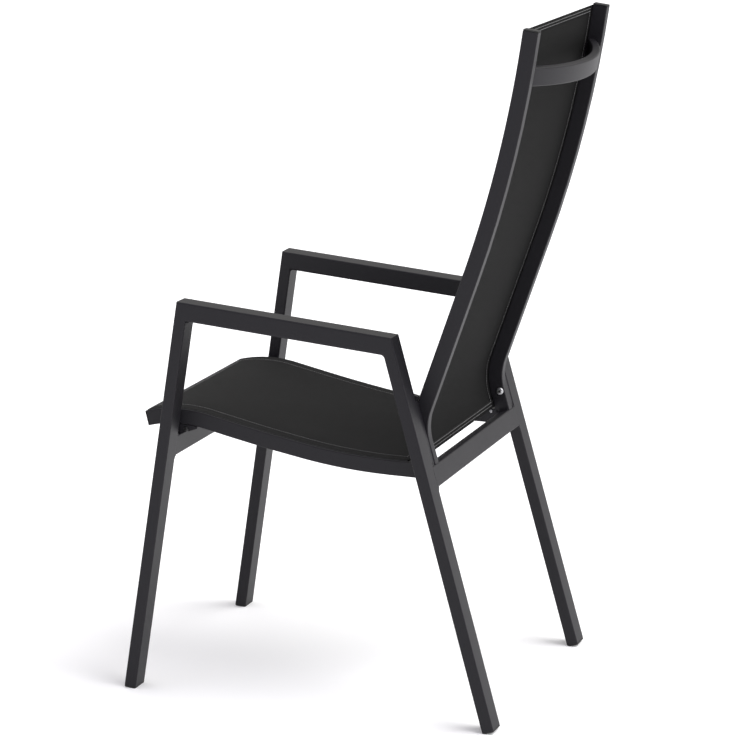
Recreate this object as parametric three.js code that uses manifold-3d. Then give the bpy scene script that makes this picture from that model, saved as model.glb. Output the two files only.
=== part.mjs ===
// High-backed patio chair with a woven sling: two welded side frames, two crossbars, a bent pair of back rails
// with a bowed handle, and a seat frame bolted to the front crossbar. Millimetres, +Z up, the front faces -Y and
// the sitter's left is +X. The origin lies on the floor, at the middle of the chair's outline.
import * as THREE from 'three';
import { mergeVertices } from 'three/addons/utils/BufferGeometryUtils.js';
import Module from 'manifold-3d';

const wasm = await Module();
wasm.setup();

// Side frames: a front leg, an armrest and a rear leg, all 40 mm wide across the chair
const floorHalfWidth = 278.6;
const splay = THREE.MathUtils.degToRad(0.83);
const frontFootDistance = 339.5;
const rearFootDistance = 299.3;
const frontLean = THREE.MathUtils.degToRad(6.9);
const rearLean = THREE.MathUtils.degToRad(17.2);
const armTopHeight = 636.6;
const armSlope = THREE.MathUtils.degToRad(4.2);
const tubeWidth = 40;
const legDepth = 20;
const armDepth = 30;
const tubeCornerRadius = 2.5;
const tubeWallThickness = 1.5;

// Crossbars between the side frames, flush with the rear faces of the legs
const barHeight = 35;
const barDepth = 20;
const frontBarDropLength = 63.8;
const rearBarDropLength = 19.9;

// Sling rails, one section for the back and the seat
const railSideGap = 12.5;
const railWidth = 18;
const railDepth = 25;
const railWallThickness = 1.5;
const railCornerRadius = 1.6;
const grooveDistance = 4.5;
const grooveRadius = 2.9;
const grooveLipThickness = 1.4;
const grooveFloorThickness = 2.1;
const slotWidth = 1.8;
const chamberArmWidth = 7.2;

// Back rails, from the rear crossbar up
const backFootLength = 36.9;
const backBendRadius = 97.5;
const backRecline = THREE.MathUtils.degToRad(17.85);
const backStraightLength = 256;
const backArcRadius = 2024;
const backArcTurn = THREE.MathUtils.degToRad(11.55);

// Seat rails, from the rear crossbar forward
const seatRearHeight = 405.9;
const seatRearLength = 60.2;
const seatRiseRadius = 912;
const seatRiseTurn = THREE.MathUtils.degToRad(8.9);
const seatSlopeRadius = 2612;
const seatSlopeTurn = THREE.MathUtils.degToRad(2.7);
const crestDistance = 112;
const seatCrestRadius = 203;
const seatCrestTurn = THREE.MathUtils.degToRad(26.9);
const seatNoseLength = 6.8;

// Bowed handle between the back rails, near the top
const handleDropLength = 76;
const handleHeight = 30;
const handleDepth = 14;
const handleBowDepth = 43.4;
const handleForwardDistance = 3.1;
const handleWallThickness = 1.5;
const handleCornerRadius = 2.2;

// Round spreader under the seat
const spreaderRadius = 8;
const spreaderWallThickness = 1.5;
const spreaderDistance = 180;

// Slings and the welts that hold them in the rails
const slingThickness = 1.2;
const slingLipWidth = 1;
const weltRadius = 2.2;
const slingEndGap = 0.6;
const backSlingBottomHeight = 10;
const seatSlingRearGap = 30;

// Plastic caps and glides
const capThickness = 2.5;
const capPlugLength = 9;
const glideThickness = 3;
const glidePlugLength = 12;
const frontGlideWearDepth = 0.5;
const rearGlideWearDepth = 1;

// Bolts that hold the back rails to the rear legs
const boltRadius = 3;
const boltHeadRadius = 6.2;
const boltHeadHeight = 3.8;
const boltChamferWidth = 0.8;
const socketRadius = 2.2;
const socketDepth = 2;
const backBoltHeight = 35;
const backBoltDepth = 7.5;
const rivetNutRadius = 4.5;
const rivetNutLength = 11;
const rivetNutFlangeRadius = 6;
const rivetNutFlangeThickness = 0.8;
const boltEngagedLength = 8;

// Spacer plates between the back rails and the rear legs, up to where the two part. Their distances run forward
// from the legs' rear faces, and their heights up from the end of the back rails' straight feet.
const spacerFootDistance = 1.5;
const spacerFrontDistance = 16.5;
const spacerFrontHeight = 88.8;
const spacerShoulderDistance = 0.8;
const spacerShoulderHeight = 70.5;
const spacerTipRearDistance = 4.5;
const spacerTipHeight = 77.3;

// Lugs, bolts and nuts that hold the seat frame to the front crossbar
const lugThickness = 5;
const lugTailLength = 28;
const lugTailHeight = 3.1;
const lugFootLength = 18;
const seatLugGap = 1.2;
const seatLugFootLength = 6;
const lugBoltDistance = 9.5;
const lugBoltHeight = 8.5;
const lugBoltRadius = 2.5;
const lugBoltHeadRadius = 4.2;
const lugBoltHeadHeight = 2.8;
const lugBoltChamferWidth = 0.5;
const lugSocketRadius = 1.6;
const lugSocketDepth = 1.4;
const lugNutRadius = 4.6;
const lugNutHeight = 4;
const lugBoltOverhangLength = 1.2;

// Tongues that carry the rear ends of the seat rails, and their screws
const tongueLength = 36;
const screwRadius = 1.5;
const screwHeadRadius = 2.6;
const screwHeadHeight = 1.7;
const screwChamferWidth = 0.4;
const screwRecessRadius = 1.1;
const screwRecessDepth = 0.8;
const screwLength = 7;
const screwDistance = 15.5;
const screwHeight = 8;

// Working clearances
const gap = 0.3;
const boltClearance = 0.35;
const overrunLength = 30;
const cutterLength = 400;
const leastRingLength = 2;

// Counts of facets
const cornerSteps = 1;
const bendSteps = 6;
const longArcSteps = 6;
const shortArcSteps = 4;
const crestSteps = 7;
const handleSteps = 14;
const roundSides = 16;
const weltSides = 8;

const powderCoat = { color: 0x3b3c40, roughness: 0.55, metalness: 0.35 };
const slingFabric = { color: 0x2f3032, roughness: 0.9, metalness: 0 };
const blackPlastic = { color: 0x1b1c1e, roughness: 0.6, metalness: 0 };
const brightSteel = { color: 0xb9babc, roughness: 0.3, metalness: 0.9 };
const blackSteel = { color: 0x2a2b2d, roughness: 0.5, metalness: 0.7 };

// A point or a direction in the side plane: y runs to the rear and z up
const point = (y, z) => ({ y, z });
const along = (from, direction, distance) =>
  point(from.y + direction.y * distance, from.z + direction.z * distance);
const direction = (from, to) => {
  const length = Math.hypot(to.y - from.y, to.z - from.z);
  return point((to.y - from.y) / length, (to.z - from.z) / length);
};
const middle = (a, b) => point((a.y + b.y) / 2, (a.z + b.z) / 2);
const heading = (angle) => point(Math.cos(angle), Math.sin(angle));
const leftOf = (d) => point(-d.z, d.y);

function crossing(pointA, directionA, pointB, directionB) {
  const spread = directionA.y * directionB.z - directionA.z * directionB.y;
  const reach = ((pointB.y - pointA.y) * directionB.z - (pointB.z - pointA.z) * directionB.y) / spread;
  return along(pointA, directionA, reach);
}

// Solids for joining and cutting
function toSolid(geometry) {
  const bare = geometry.clone();
  bare.deleteAttribute('normal');
  bare.deleteAttribute('uv');
  const merged = mergeVertices(bare);
  return new wasm.Manifold(new wasm.Mesh({
    numProp: 3,
    vertProperties: merged.getAttribute('position').array,
    triVerts: new Uint32Array(merged.getIndex().array),
  }));
}

function toGeometry(solid) {
  const mesh = solid.getMesh();
  const geometry = new THREE.BufferGeometry();
  geometry.setAttribute('position', new THREE.BufferAttribute(mesh.vertProperties, mesh.numProp));
  geometry.setIndex(new THREE.BufferAttribute(mesh.triVerts, 1));
  const faceted = geometry.toNonIndexed();
  faceted.computeVertexNormals();
  return faceted;
}

// Turns every triangle over
function flipped(geometry) {
  const turned = geometry.index ? geometry.toNonIndexed() : geometry.clone();
  const position = turned.getAttribute('position');
  const a = new THREE.Vector3();
  const b = new THREE.Vector3();
  for (let i = 0; i < position.count; i += 3) {
    a.fromBufferAttribute(position, i + 1);
    b.fromBufferAttribute(position, i + 2);
    position.setXYZ(i + 1, b.x, b.y, b.z);
    position.setXYZ(i + 2, a.x, a.y, a.z);
  }
  turned.computeVertexNormals();
  return turned;
}

function mirrored(geometry) {
  const copy = geometry.clone();
  copy.applyMatrix4(new THREE.Matrix4().makeScale(-1, 1, 1));
  return flipped(copy);
}

// Makes a closed shell face outward, whichever way its profile was drawn
function facingOut(geometry) {
  const loose = geometry.index ? geometry.toNonIndexed() : geometry;
  const position = loose.getAttribute('position');
  const corners = [new THREE.Vector3(), new THREE.Vector3(), new THREE.Vector3()];
  let volume = 0;
  for (let i = 0; i < position.count; i += 3) {
    corners.forEach((corner, k) => corner.fromBufferAttribute(position, i + k));
    volume += corners[0].dot(corners[1].clone().cross(corners[2]));
  }
  return volume < 0 ? flipped(loose) : loose;
}

// Outlines
function roundedRectangle(width, height, radius) {
  const shape = new THREE.Shape();
  const x = width / 2;
  const y = height / 2;
  shape.moveTo(x - radius, -y);
  shape.absarc(x - radius, -y + radius, radius, -Math.PI / 2, 0);
  shape.absarc(x - radius, y - radius, radius, 0, Math.PI / 2);
  shape.absarc(-x + radius, y - radius, radius, Math.PI / 2, Math.PI);
  shape.absarc(-x + radius, -y + radius, radius, Math.PI, Math.PI * 1.5);
  return shape;
}

function rectangle(left, right, bottom, top) {
  return [
    new THREE.Vector2(left, bottom),
    new THREE.Vector2(right, bottom),
    new THREE.Vector2(right, top),
    new THREE.Vector2(left, top),
  ];
}

function tubeOutline(width, height, radius, wall) {
  const shape = roundedRectangle(width, height, radius);
  const x = width / 2 - wall;
  const y = height / 2 - wall;
  shape.holes.push(new THREE.Path(rectangle(-x, x, -y, y)));
  return shape;
}

// Extrudes an outline along a straight line in the side plane: its x points away from +X and its y to the left
// of travel
function straightSweep(shape, x, from, d, length) {
  const geometry = new THREE.ExtrudeGeometry(shape, {
    depth: length,
    bevelEnabled: false,
    curveSegments: cornerSteps,
  });
  const inboard = new THREE.Vector3(-1, 0, 0);
  const left = leftOf(d);
  const side = new THREE.Vector3(0, left.y, left.z);
  const axis = new THREE.Vector3(0, d.y, d.z);
  geometry.applyMatrix4(new THREE.Matrix4().makeBasis(inboard, side, axis).setPosition(x, from.y, from.z));
  return geometry;
}

// Extrudes an outline drawn in the side plane, from one x to another
function sideExtrusion(points, fromX, toX) {
  const shape = new THREE.Shape(points.map((p) => new THREE.Vector2(p.y, p.z)));
  const geometry = new THREE.ExtrudeGeometry(shape, { depth: toX - fromX, bevelEnabled: false });
  const toRear = new THREE.Vector3(0, 1, 0);
  const up = new THREE.Vector3(0, 0, 1);
  const across = new THREE.Vector3(1, 0, 0);
  geometry.applyMatrix4(new THREE.Matrix4().makeBasis(toRear, up, across).setPosition(fromX, 0, 0));
  return facingOut(geometry);
}

// Removes everything beyond the line from a to b, on the side away from the point that is kept, and a clearance
// on this side of it
function cutBeyond(solid, a, b, keep, clearance) {
  const line = direction(a, b);
  let outward = leftOf(line);
  if ((keep.y - a.y) * outward.y + (keep.z - a.z) * outward.z > 0) {
    outward = point(-outward.y, -outward.z);
  }
  const center = along(middle(a, b), outward, cutterLength / 2 - clearance);
  const block = new THREE.BoxGeometry(cutterLength * 2, cutterLength, cutterLength);
  const across = new THREE.Vector3(1, 0, 0);
  const normal = new THREE.Vector3(0, outward.y, outward.z);
  const rest = new THREE.Vector3().crossVectors(across, normal);
  block.applyMatrix4(new THREE.Matrix4().makeBasis(across, normal, rest).setPosition(0, center.y, center.z));
  return solid.subtract(toSolid(block));
}

// A round rod along x, from one x to another
function rod(radius, fromX, toX, at, sides = roundSides) {
  const geometry = new THREE.CylinderGeometry(radius, radius, toX - fromX, sides);
  geometry.rotateZ(Math.PI / 2);
  geometry.translate((fromX + toX) / 2, at.y, at.z);
  return geometry;
}

// A profile of radius and length turned about x: it starts at startX and its length runs along growing x when
// sense is 1, or along falling x when sense is -1
function turned(profile, startX, at, sense, sides = roundSides) {
  const geometry = new THREE.LatheGeometry(profile.map(([r, l]) => new THREE.Vector2(r, l)), sides);
  geometry.rotateZ(-sense * Math.PI / 2);
  geometry.translate(startX, at.y, at.z);
  return facingOut(geometry);
}

function screwProfile(head, headHeight, chamfer, shank, total, recess, recessDepth) {
  return [
    [0, recessDepth],
    [recess, recessDepth],
    [recess, 0],
    [head - chamfer, 0],
    [head, chamfer],
    [head, headHeight],
    [shank, headHeight],
    [shank, total],
    [0, total],
  ];
}

// A bent line in the side plane, made of straights and arcs. A turn above zero bends to the left of travel.
function bentLine(start, startAngle, segments) {
  const pieces = [];
  let at = start;
  let angle = startAngle;
  let run = 0;
  for (const segment of segments) {
    const turn = segment.turn ?? 0;
    const length = segment.length ?? segment.radius * Math.abs(turn);
    pieces.push({ at, angle, run, length, turn, radius: segment.radius, steps: segment.steps ?? 1 });
    at = arcPoint(at, angle, turn, segment.radius, length, length);
    angle += turn;
    run += length;
  }
  return { pieces, length: run };
}

function arcPoint(at, angle, turn, radius, length, distance) {
  if (turn === 0) {
    return along(at, heading(angle), distance);
  }
  const side = Math.sign(turn);
  const center = along(at, leftOf(heading(angle)), side * radius);
  const end = angle + turn * distance / length;
  return along(center, leftOf(heading(end)), -side * radius);
}

// The place and the heading at a distance along a bent line
function poseAt(line, distance) {
  const piece = line.pieces.findLast((candidate) => candidate.run <= distance) ?? line.pieces[0];
  const inside = distance - piece.run;
  return {
    at: arcPoint(piece.at, piece.angle, piece.turn, piece.radius, piece.length, inside),
    angle: piece.angle + piece.turn * inside / piece.length,
  };
}

// The rings of a sweep: the places along a bent line between two distances, with more of them on its arcs
class RailPath extends THREE.Curve {
  constructor(line, from, to, x) {
    super();
    const distances = [from];
    for (const piece of line.pieces) {
      for (let i = 0; i <= piece.steps; i += 1) {
        const distance = piece.run + piece.length * i / piece.steps;
        const last = distances[distances.length - 1];
        if (distance > last + leastRingLength && distance < to - leastRingLength) {
          distances.push(distance);
        }
      }
    }
    distances.push(to);
    this.x = x;
    this.rings = distances.map((distance) => poseAt(line, distance));
  }

  get steps() {
    return this.rings.length - 1;
  }

  getPoint(t, target = new THREE.Vector3()) {
    const place = t * this.steps;
    const index = Math.min(Math.floor(place), this.steps - 1);
    const a = this.rings[index].at;
    const b = this.rings[index + 1].at;
    const share = place - index;
    return target.set(this.x, a.y + (b.y - a.y) * share, a.z + (b.z - a.z) * share);
  }

  getTangent(t, target = new THREE.Vector3()) {
    const ring = this.rings[Math.round(t * this.steps)];
    return target.set(0, Math.cos(ring.angle), Math.sin(ring.angle));
  }

  getUtoTmapping(u) {
    return u;
  }
}

// Sweeps a section along a path: its x points away from +X and its y to the left of travel
function railSweep(shape, path) {
  return new THREE.ExtrudeGeometry(shape, {
    steps: path.steps,
    extrudePath: path,
    curveSegments: cornerSteps,
  });
}

const group = new THREE.Group();

function add(name, geometry, finish, parent = group) {
  const mesh = new THREE.Mesh(geometry, new THREE.MeshStandardMaterial(finish));
  mesh.name = name;
  parent.add(mesh);
}

function addPair(name, leftGeometry, finish) {
  add(`left_${name}`, leftGeometry, finish);
  add(`right_${name}`, mirrored(leftGeometry), finish);
}

// Lines of a side frame in its own plane
const frontUp = point(Math.sin(frontLean), Math.cos(frontLean));
const frontToRear = point(Math.cos(frontLean), -Math.sin(frontLean));
const rearUp = point(-Math.sin(rearLean), Math.cos(rearLean));
const rearToFront = point(-Math.cos(rearLean), -Math.sin(rearLean));
const armBack = point(Math.cos(armSlope), -Math.sin(armSlope));
const armDown = point(-Math.sin(armSlope), -Math.cos(armSlope));
const frontFoot = point(-frontFootDistance, 0);
const rearFoot = point(rearFootDistance, 0);
const armTop = point(0, armTopHeight);
const frontInner = along(frontFoot, frontToRear, legDepth);
const rearInner = along(rearFoot, rearToFront, legDepth);
const armBottom = along(armTop, armDown, armDepth);

const frontOuterCorner = crossing(frontFoot, frontUp, armTop, armBack);
const frontInnerCorner = crossing(frontInner, frontUp, armBottom, armBack);
const rearOuterCorner = crossing(rearFoot, rearUp, armTop, armBack);
const rearInnerCorner = crossing(rearInner, rearUp, armBottom, armBack);

// A side frame leans inward about the outer edge of its feet
const sideMatrix = new THREE.Matrix4()
  .makeTranslation(floorHalfWidth, 0, 0)
  .multiply(new THREE.Matrix4().makeRotationY(-splay));
const innerFaceX = (height) => floorHalfWidth - tubeWidth / Math.cos(splay) - height * Math.tan(splay);

function legFoot(corner, towardTube, up, wear) {
  const drop = -corner.z / up.z;
  const lowCorner = along(corner, up, drop);
  return along(along(lowCorner, up, -wear), towardTube, legDepth / 2);
}

// The lowest corner of each square-cut leg end touches the floor
const frontEnd = legFoot(frontInner, point(-frontToRear.y, -frontToRear.z), frontUp, frontGlideWearDepth);
const rearEnd = legFoot(rearInner, point(-rearToFront.y, -rearToFront.z), rearUp, rearGlideWearDepth);

function legTube(end, up, outerCorner, innerCorner) {
  const outline = tubeOutline(tubeWidth, legDepth, tubeCornerRadius, tubeWallThickness);
  const start = along(end, up, glideThickness + gap);
  const length = Math.hypot(outerCorner.y - start.y, outerCorner.z - start.z) + overrunLength;
  const tube = toSolid(straightSweep(outline, -tubeWidth / 2, start, up, length));
  return cutBeyond(tube, outerCorner, innerCorner, start, gap / 2);
}

function armTube() {
  const outline = tubeOutline(tubeWidth, armDepth, tubeCornerRadius, tubeWallThickness);
  const start = along(middle(frontOuterCorner, frontInnerCorner), armBack, -overrunLength);
  const end = middle(rearOuterCorner, rearInnerCorner);
  const length = Math.hypot(end.y - start.y, end.z - start.z) + overrunLength;
  const center = middle(start, end);
  const bar = toSolid(straightSweep(outline, -tubeWidth / 2, start, armBack, length));
  const mitred = cutBeyond(bar, frontOuterCorner, frontInnerCorner, center, gap / 2);
  return cutBeyond(mitred, rearOuterCorner, rearInnerCorner, center, gap / 2);
}

function placedSide(solid) {
  const geometry = toGeometry(solid);
  geometry.applyMatrix4(sideMatrix);
  return geometry;
}

// A glide plugs into a leg's open end, and its low edge is worn flat where it meets the floor
function glide(end, up) {
  const plate = straightSweep(
    roundedRectangle(tubeWidth, legDepth, tubeCornerRadius), -tubeWidth / 2, end, up, glideThickness);
  const plugOutline = new THREE.Shape(rectangle(
    -tubeWidth / 2 + tubeWallThickness + gap, tubeWidth / 2 - tubeWallThickness - gap,
    -legDepth / 2 + tubeWallThickness + gap, legDepth / 2 - tubeWallThickness - gap));
  const plugStart = along(end, up, glideThickness / 2);
  const plug = straightSweep(
    plugOutline, -tubeWidth / 2, plugStart, up, glideThickness / 2 + glidePlugLength);
  const placed = toGeometry(toSolid(plate).add(toSolid(plug)));
  placed.applyMatrix4(sideMatrix);
  const floorBlock = new THREE.BoxGeometry(cutterLength * 2, cutterLength * 2, cutterLength);
  floorBlock.translate(0, 0, -cutterLength / 2);
  return toGeometry(toSolid(placed).subtract(toSolid(floorBlock)));
}

// The rear crossbar, and the rails' places beside it
const rearBarBottom = seatRearHeight - rearBarDropLength;
const rearBarCorner = along(rearFoot, rearUp, rearBarBottom / rearUp.z);
const rearBarCenter = along(along(rearBarCorner, rearUp, barHeight / 2), rearToFront, barDepth / 2);
const rearBarTop = along(rearBarCorner, rearUp, barHeight);
const railOuterX = innerFaceX(rearBarTop.z) - railSideGap;
const railX = railOuterX - railWidth / 2;
const railInnerX = railOuterX - railWidth;

// A rectangular tube across the chair, its height along the given upward direction
function crossTube(center, up, halfLength) {
  const outline = tubeOutline(barDepth, barHeight, tubeCornerRadius, tubeWallThickness);
  const geometry = new THREE.ExtrudeGeometry(outline, {
    depth: halfLength * 2,
    bevelEnabled: false,
    curveSegments: cornerSteps,
  });
  const height = new THREE.Vector3(0, up.y, up.z);
  const across = new THREE.Vector3(1, 0, 0);
  const depth = new THREE.Vector3().crossVectors(height, across);
  geometry.applyMatrix4(
    new THREE.Matrix4().makeBasis(depth, height, across).setPosition(-halfLength, center.y, center.z));
  return geometry;
}

// Section of a sling rail: x runs inboard from the rail's middle and y towards the sling. The welt groove
// opens through a slot in the face under the sling, and the chamber behind it is hollow.
const grooveX = grooveDistance - railWidth / 2;
const grooveY = railDepth / 2 - grooveLipThickness - grooveRadius;
const chamberX = railWidth / 2 - railWallThickness;
const chamberLow = -railDepth / 2 + railWallThickness;
const chamberStep = grooveY - grooveRadius - grooveFloorThickness;
const chamberHigh = railDepth / 2 - railWallThickness;

function railSection() {
  const x = railWidth / 2;
  const y = railDepth / 2;
  const r = railCornerRadius;
  const shape = new THREE.Shape();
  const mouth = Math.asin(slotWidth / 2 / grooveRadius);
  shape.moveTo(x - r, -y);
  shape.absarc(x - r, -y + r, r, -Math.PI / 2, 0);
  shape.absarc(x - r, y - r, r, 0, Math.PI / 2);
  shape.lineTo(grooveX + slotWidth / 2, y);
  const turn = (Math.PI * 2 - mouth * 2) / weltSides;
  for (let i = 0; i <= weltSides; i += 1) {
    const angle = Math.PI / 2 - mouth - turn * i;
    shape.lineTo(grooveX + grooveRadius * Math.cos(angle), grooveY + grooveRadius * Math.sin(angle));
  }
  shape.lineTo(grooveX - slotWidth / 2, y);
  shape.absarc(-x + r, y - r, r, Math.PI / 2, Math.PI);
  shape.absarc(-x + r, -y + r, r, Math.PI, Math.PI * 1.5);
  shape.holes.push(new THREE.Path([
    new THREE.Vector2(-chamberX, chamberLow),
    new THREE.Vector2(chamberX, chamberLow),
    new THREE.Vector2(chamberX, chamberHigh),
    new THREE.Vector2(chamberX - chamberArmWidth, chamberHigh),
    new THREE.Vector2(chamberX - chamberArmWidth, chamberStep),
    new THREE.Vector2(-chamberX, chamberStep),
  ]));
  return shape;
}

// The chamber's own outline, drawn in by a clearance: what fits into the rail's open end
function chamberOutline(clearance) {
  const armX = chamberX - chamberArmWidth;
  return new THREE.Shape([
    new THREE.Vector2(-chamberX + clearance, chamberLow + clearance),
    new THREE.Vector2(chamberX - clearance, chamberLow + clearance),
    new THREE.Vector2(chamberX - clearance, chamberHigh - clearance),
    new THREE.Vector2(armX + clearance, chamberHigh - clearance),
    new THREE.Vector2(armX + clearance, chamberStep - clearance),
    new THREE.Vector2(-chamberX + clearance, chamberStep - clearance),
  ]);
}

// Back rails stand on the rear crossbar, with their rear faces flush with it, and lean back above the bend
const backStart = along(along(rearBarTop, rearUp, gap), rearToFront, railDepth / 2);
const backBend = rearLean + backRecline;
const backTangent = backBendRadius * Math.tan(backBend / 2);
const backLine = bentLine(backStart, Math.PI / 2 + rearLean, [
  { length: backFootLength },
  { radius: backBendRadius, turn: -backBend, steps: bendSteps },
  { length: backStraightLength - backTangent },
  { radius: backArcRadius, turn: backArcTurn, steps: longArcSteps },
]);
const backBolt = along(along(rearBarTop, rearUp, backBoltHeight), rearToFront, backBoltDepth);

const backMetalEnd = backLine.length - capThickness - gap;

function backRail() {
  const rail = railSweep(railSection(), new RailPath(backLine, 0, backMetalEnd, railX));
  const hole = rod(boltRadius + boltClearance, railInnerX - overrunLength, railOuterX + overrunLength, backBolt);
  return toGeometry(toSolid(rail).subtract(toSolid(hole)));
}

// Seat rails run forward from the rear crossbar. Their line is laid back from the front end, so that the sling
// lies to the left of travel as it does on the back.
const rearBarFront = along(rearBarCorner, rearToFront, barDepth);
const seatRear = crossing(rearBarFront, rearUp, point(0, seatRearHeight), heading(0));
const seatStart = point(seatRear.y + overrunLength, seatRearHeight);
const seatRearSegments = [
  { length: seatRearLength + overrunLength },
  { radius: seatRiseRadius, turn: -seatRiseTurn, steps: shortArcSteps },
  { radius: seatSlopeRadius, turn: -seatSlopeTurn, steps: shortArcSteps },
];
const seatRearPart = bentLine(seatStart, Math.PI, seatRearSegments);
const slopeEnd = poseAt(seatRearPart, seatRearPart.length);
const seatSegments = [
  ...seatRearSegments,
  { length: (slopeEnd.at.y - frontFoot.y - crestDistance) / -heading(slopeEnd.angle).y },
  { radius: seatCrestRadius, turn: seatCrestTurn, steps: crestSteps },
  { length: seatNoseLength },
];
const seatForward = bentLine(seatStart, Math.PI, seatSegments);
const seatFront = poseAt(seatForward, seatForward.length);
const seatLine = bentLine(
  seatFront.at,
  seatFront.angle - Math.PI,
  seatSegments.toReversed().map((segment) => ({ ...segment, turn: segment.turn ? -segment.turn : 0 })),
);
const seatRearEnd = seatLine.length - overrunLength;

// The front crossbar lies under the crest of the seat rails
const crest = seatForward.pieces[seatSegments.length - 2];
const crestCenter = along(crest.at, leftOf(heading(crest.angle)), crest.radius);
const frontBarBottom = crestCenter.z + crest.radius - frontBarDropLength;
const frontBarStart = (frontBarBottom - frontInner.z) / frontUp.z;
const frontBarCorner = along(frontInner, frontUp, frontBarStart);
const frontToFront = point(-frontToRear.y, -frontToRear.z);
const frontBarCenter = along(along(frontBarCorner, frontUp, barHeight / 2), frontToFront, barDepth / 2);
const frontBarTop = along(frontBarCorner, frontUp, barHeight);

// Cuts a piece clear of the rear crossbar and of the back rail's foot
function copedAtRear(solid) {
  const barFace = along(rearBarFront, rearToFront, gap);
  const barRoof = along(rearBarTop, rearUp, gap);
  const railFace = along(rearBarTop, rearToFront, railDepth + gap);
  const below = sideExtrusion([
    barFace,
    along(barFace, rearUp, -cutterLength),
    along(along(barFace, rearUp, -cutterLength), rearToFront, -cutterLength),
    along(along(barFace, rearUp, barHeight + gap), rearToFront, -cutterLength),
    along(barFace, rearUp, barHeight + gap),
  ], -cutterLength, cutterLength);
  const above = sideExtrusion([
    railFace,
    along(railFace, rearToFront, -cutterLength),
    along(along(railFace, rearToFront, -cutterLength), rearUp, cutterLength),
    along(railFace, rearUp, cutterLength),
  ], -cutterLength, cutterLength);
  return solid.subtract(toSolid(below)).subtract(toSolid(above));
}

const screwPlace = point(seatRear.y - screwDistance, seatRearHeight + screwHeight);

const seatMetalStart = capThickness + gap;

function seatRail() {
  const rail = railSweep(railSection(), new RailPath(seatLine, seatMetalStart, seatLine.length, railX));
  const hole = rod(screwRadius + boltClearance, railInnerX - overrunLength, railX, screwPlace);
  return toGeometry(copedAtRear(toSolid(rail)).subtract(toSolid(hole)));
}

// A tongue stands out from the rear crossbar into the seat rail's chamber
function seatTongue() {
  const start = point(seatRear.y - tongueLength, seatRearHeight);
  const bar = straightSweep(chamberOutline(gap), railX, start, heading(0), tongueLength + overrunLength);
  const hole = rod(screwRadius + boltClearance, railInnerX - overrunLength, railX, screwPlace);
  return toGeometry(copedAtRear(toSolid(bar)).subtract(toSolid(hole)));
}

// An end cap: a plate over the rail's whole section, and a plug in its chamber. The plate lies between two
// distances from the given place, and the plug between two others.
function railCap(pose, plateFrom, plugFrom) {
  const d = heading(pose.angle);
  const plate = straightSweep(
    roundedRectangle(railWidth, railDepth, railCornerRadius), railX, along(pose.at, d, plateFrom), d, capThickness);
  const plug = straightSweep(
    chamberOutline(gap), railX, along(pose.at, d, plugFrom), d, capPlugLength + gap + capThickness / 2);
  return toGeometry(toSolid(plate).add(toSolid(plug)));
}

const backCap = railCap(poseAt(backLine, backMetalEnd), gap, -capPlugLength);
const seatCap = railCap(poseAt(seatLine, 0), 0, capThickness / 2);

// Slings wrap over the faces of both rails and turn down into their slots
const slingX = railOuterX - grooveDistance + slingLipWidth / 2;
const slingLow = railDepth / 2 + gap;
const slingHigh = slingLow + slingThickness;
const lipEnd = grooveY + weltRadius + gap;

function slingSection() {
  const inner = slingX - slingLipWidth;
  return new THREE.Shape([
    new THREE.Vector2(-slingX, lipEnd),
    new THREE.Vector2(-inner, lipEnd),
    new THREE.Vector2(-inner, slingLow),
    new THREE.Vector2(inner, slingLow),
    new THREE.Vector2(inner, lipEnd),
    new THREE.Vector2(slingX, lipEnd),
    new THREE.Vector2(slingX, slingHigh),
    new THREE.Vector2(-slingX, slingHigh),
  ]);
}

function weltSection() {
  const corners = Array.from({ length: weltSides }, (unused, i) => {
    const angle = i / weltSides * Math.PI * 2;
    return new THREE.Vector2(grooveX + weltRadius * Math.cos(angle), grooveY + weltRadius * Math.sin(angle));
  });
  return new THREE.Shape(corners);
}

const backSlingFrom = backSlingBottomHeight;
const backSlingTo = backMetalEnd - slingEndGap;
const seatSlingFrom = seatMetalStart + slingEndGap;
const seatSlingTo = seatRearEnd - seatSlingRearGap;

// The handle's middle line: an arc bowed to the rear, drawn flat
class BowPath extends THREE.Curve {
  constructor(halfSpan, bow, past) {
    super();
    this.bow = bow;
    this.radius = (halfSpan ** 2 + bow ** 2) / (bow * 2);
    this.reach = Math.asin((halfSpan + past) / this.radius);
  }

  getPoint(t, target = new THREE.Vector3()) {
    const angle = (t * 2 - 1) * this.reach;
    return target.set(
      this.radius * Math.sin(angle), this.radius * (Math.cos(angle) - 1) + this.bow, 0);
  }

  getTangent(t, target = new THREE.Vector3()) {
    const angle = (t * 2 - 1) * this.reach;
    return target.set(Math.cos(angle), -Math.sin(angle), 0);
  }

  getUtoTmapping(u) {
    return u;
  }
}

function backHandle() {
  const pose = poseAt(backLine, backLine.length - handleDropLength);
  const up = heading(pose.angle);
  const toFront = leftOf(up);
  const center = along(pose.at, toFront, handleForwardDistance);
  const outline = tubeOutline(handleHeight, handleDepth, handleCornerRadius, handleWallThickness);
  const bar = new THREE.ExtrudeGeometry(outline, {
    steps: handleSteps,
    extrudePath: new BowPath(railInnerX, handleBowDepth, handleDepth),
    curveSegments: cornerSteps,
  });
  const across = new THREE.Vector3(1, 0, 0);
  const toRear = new THREE.Vector3(0, -toFront.y, -toFront.z);
  const upward = new THREE.Vector3(0, up.y, up.z);
  bar.applyMatrix4(
    new THREE.Matrix4().makeBasis(across, toRear, upward).setPosition(0, center.y, center.z));
  const between = new THREE.BoxGeometry((railInnerX - gap) * 2, cutterLength, cutterLength);
  between.translate(0, center.y, center.z);
  return toGeometry(toSolid(bar).intersect(toSolid(between)));
}

function seatSpreader() {
  const half = railInnerX - gap;
  const pose = poseAt(seatLine, seatRearEnd - spreaderDistance);
  const bore = spreaderRadius - spreaderWallThickness;
  const ring = [[bore, 0], [spreaderRadius, 0], [spreaderRadius, half * 2], [bore, half * 2], [bore, 0]];
  return turned(ring, -half, pose.at, 1);
}

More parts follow.
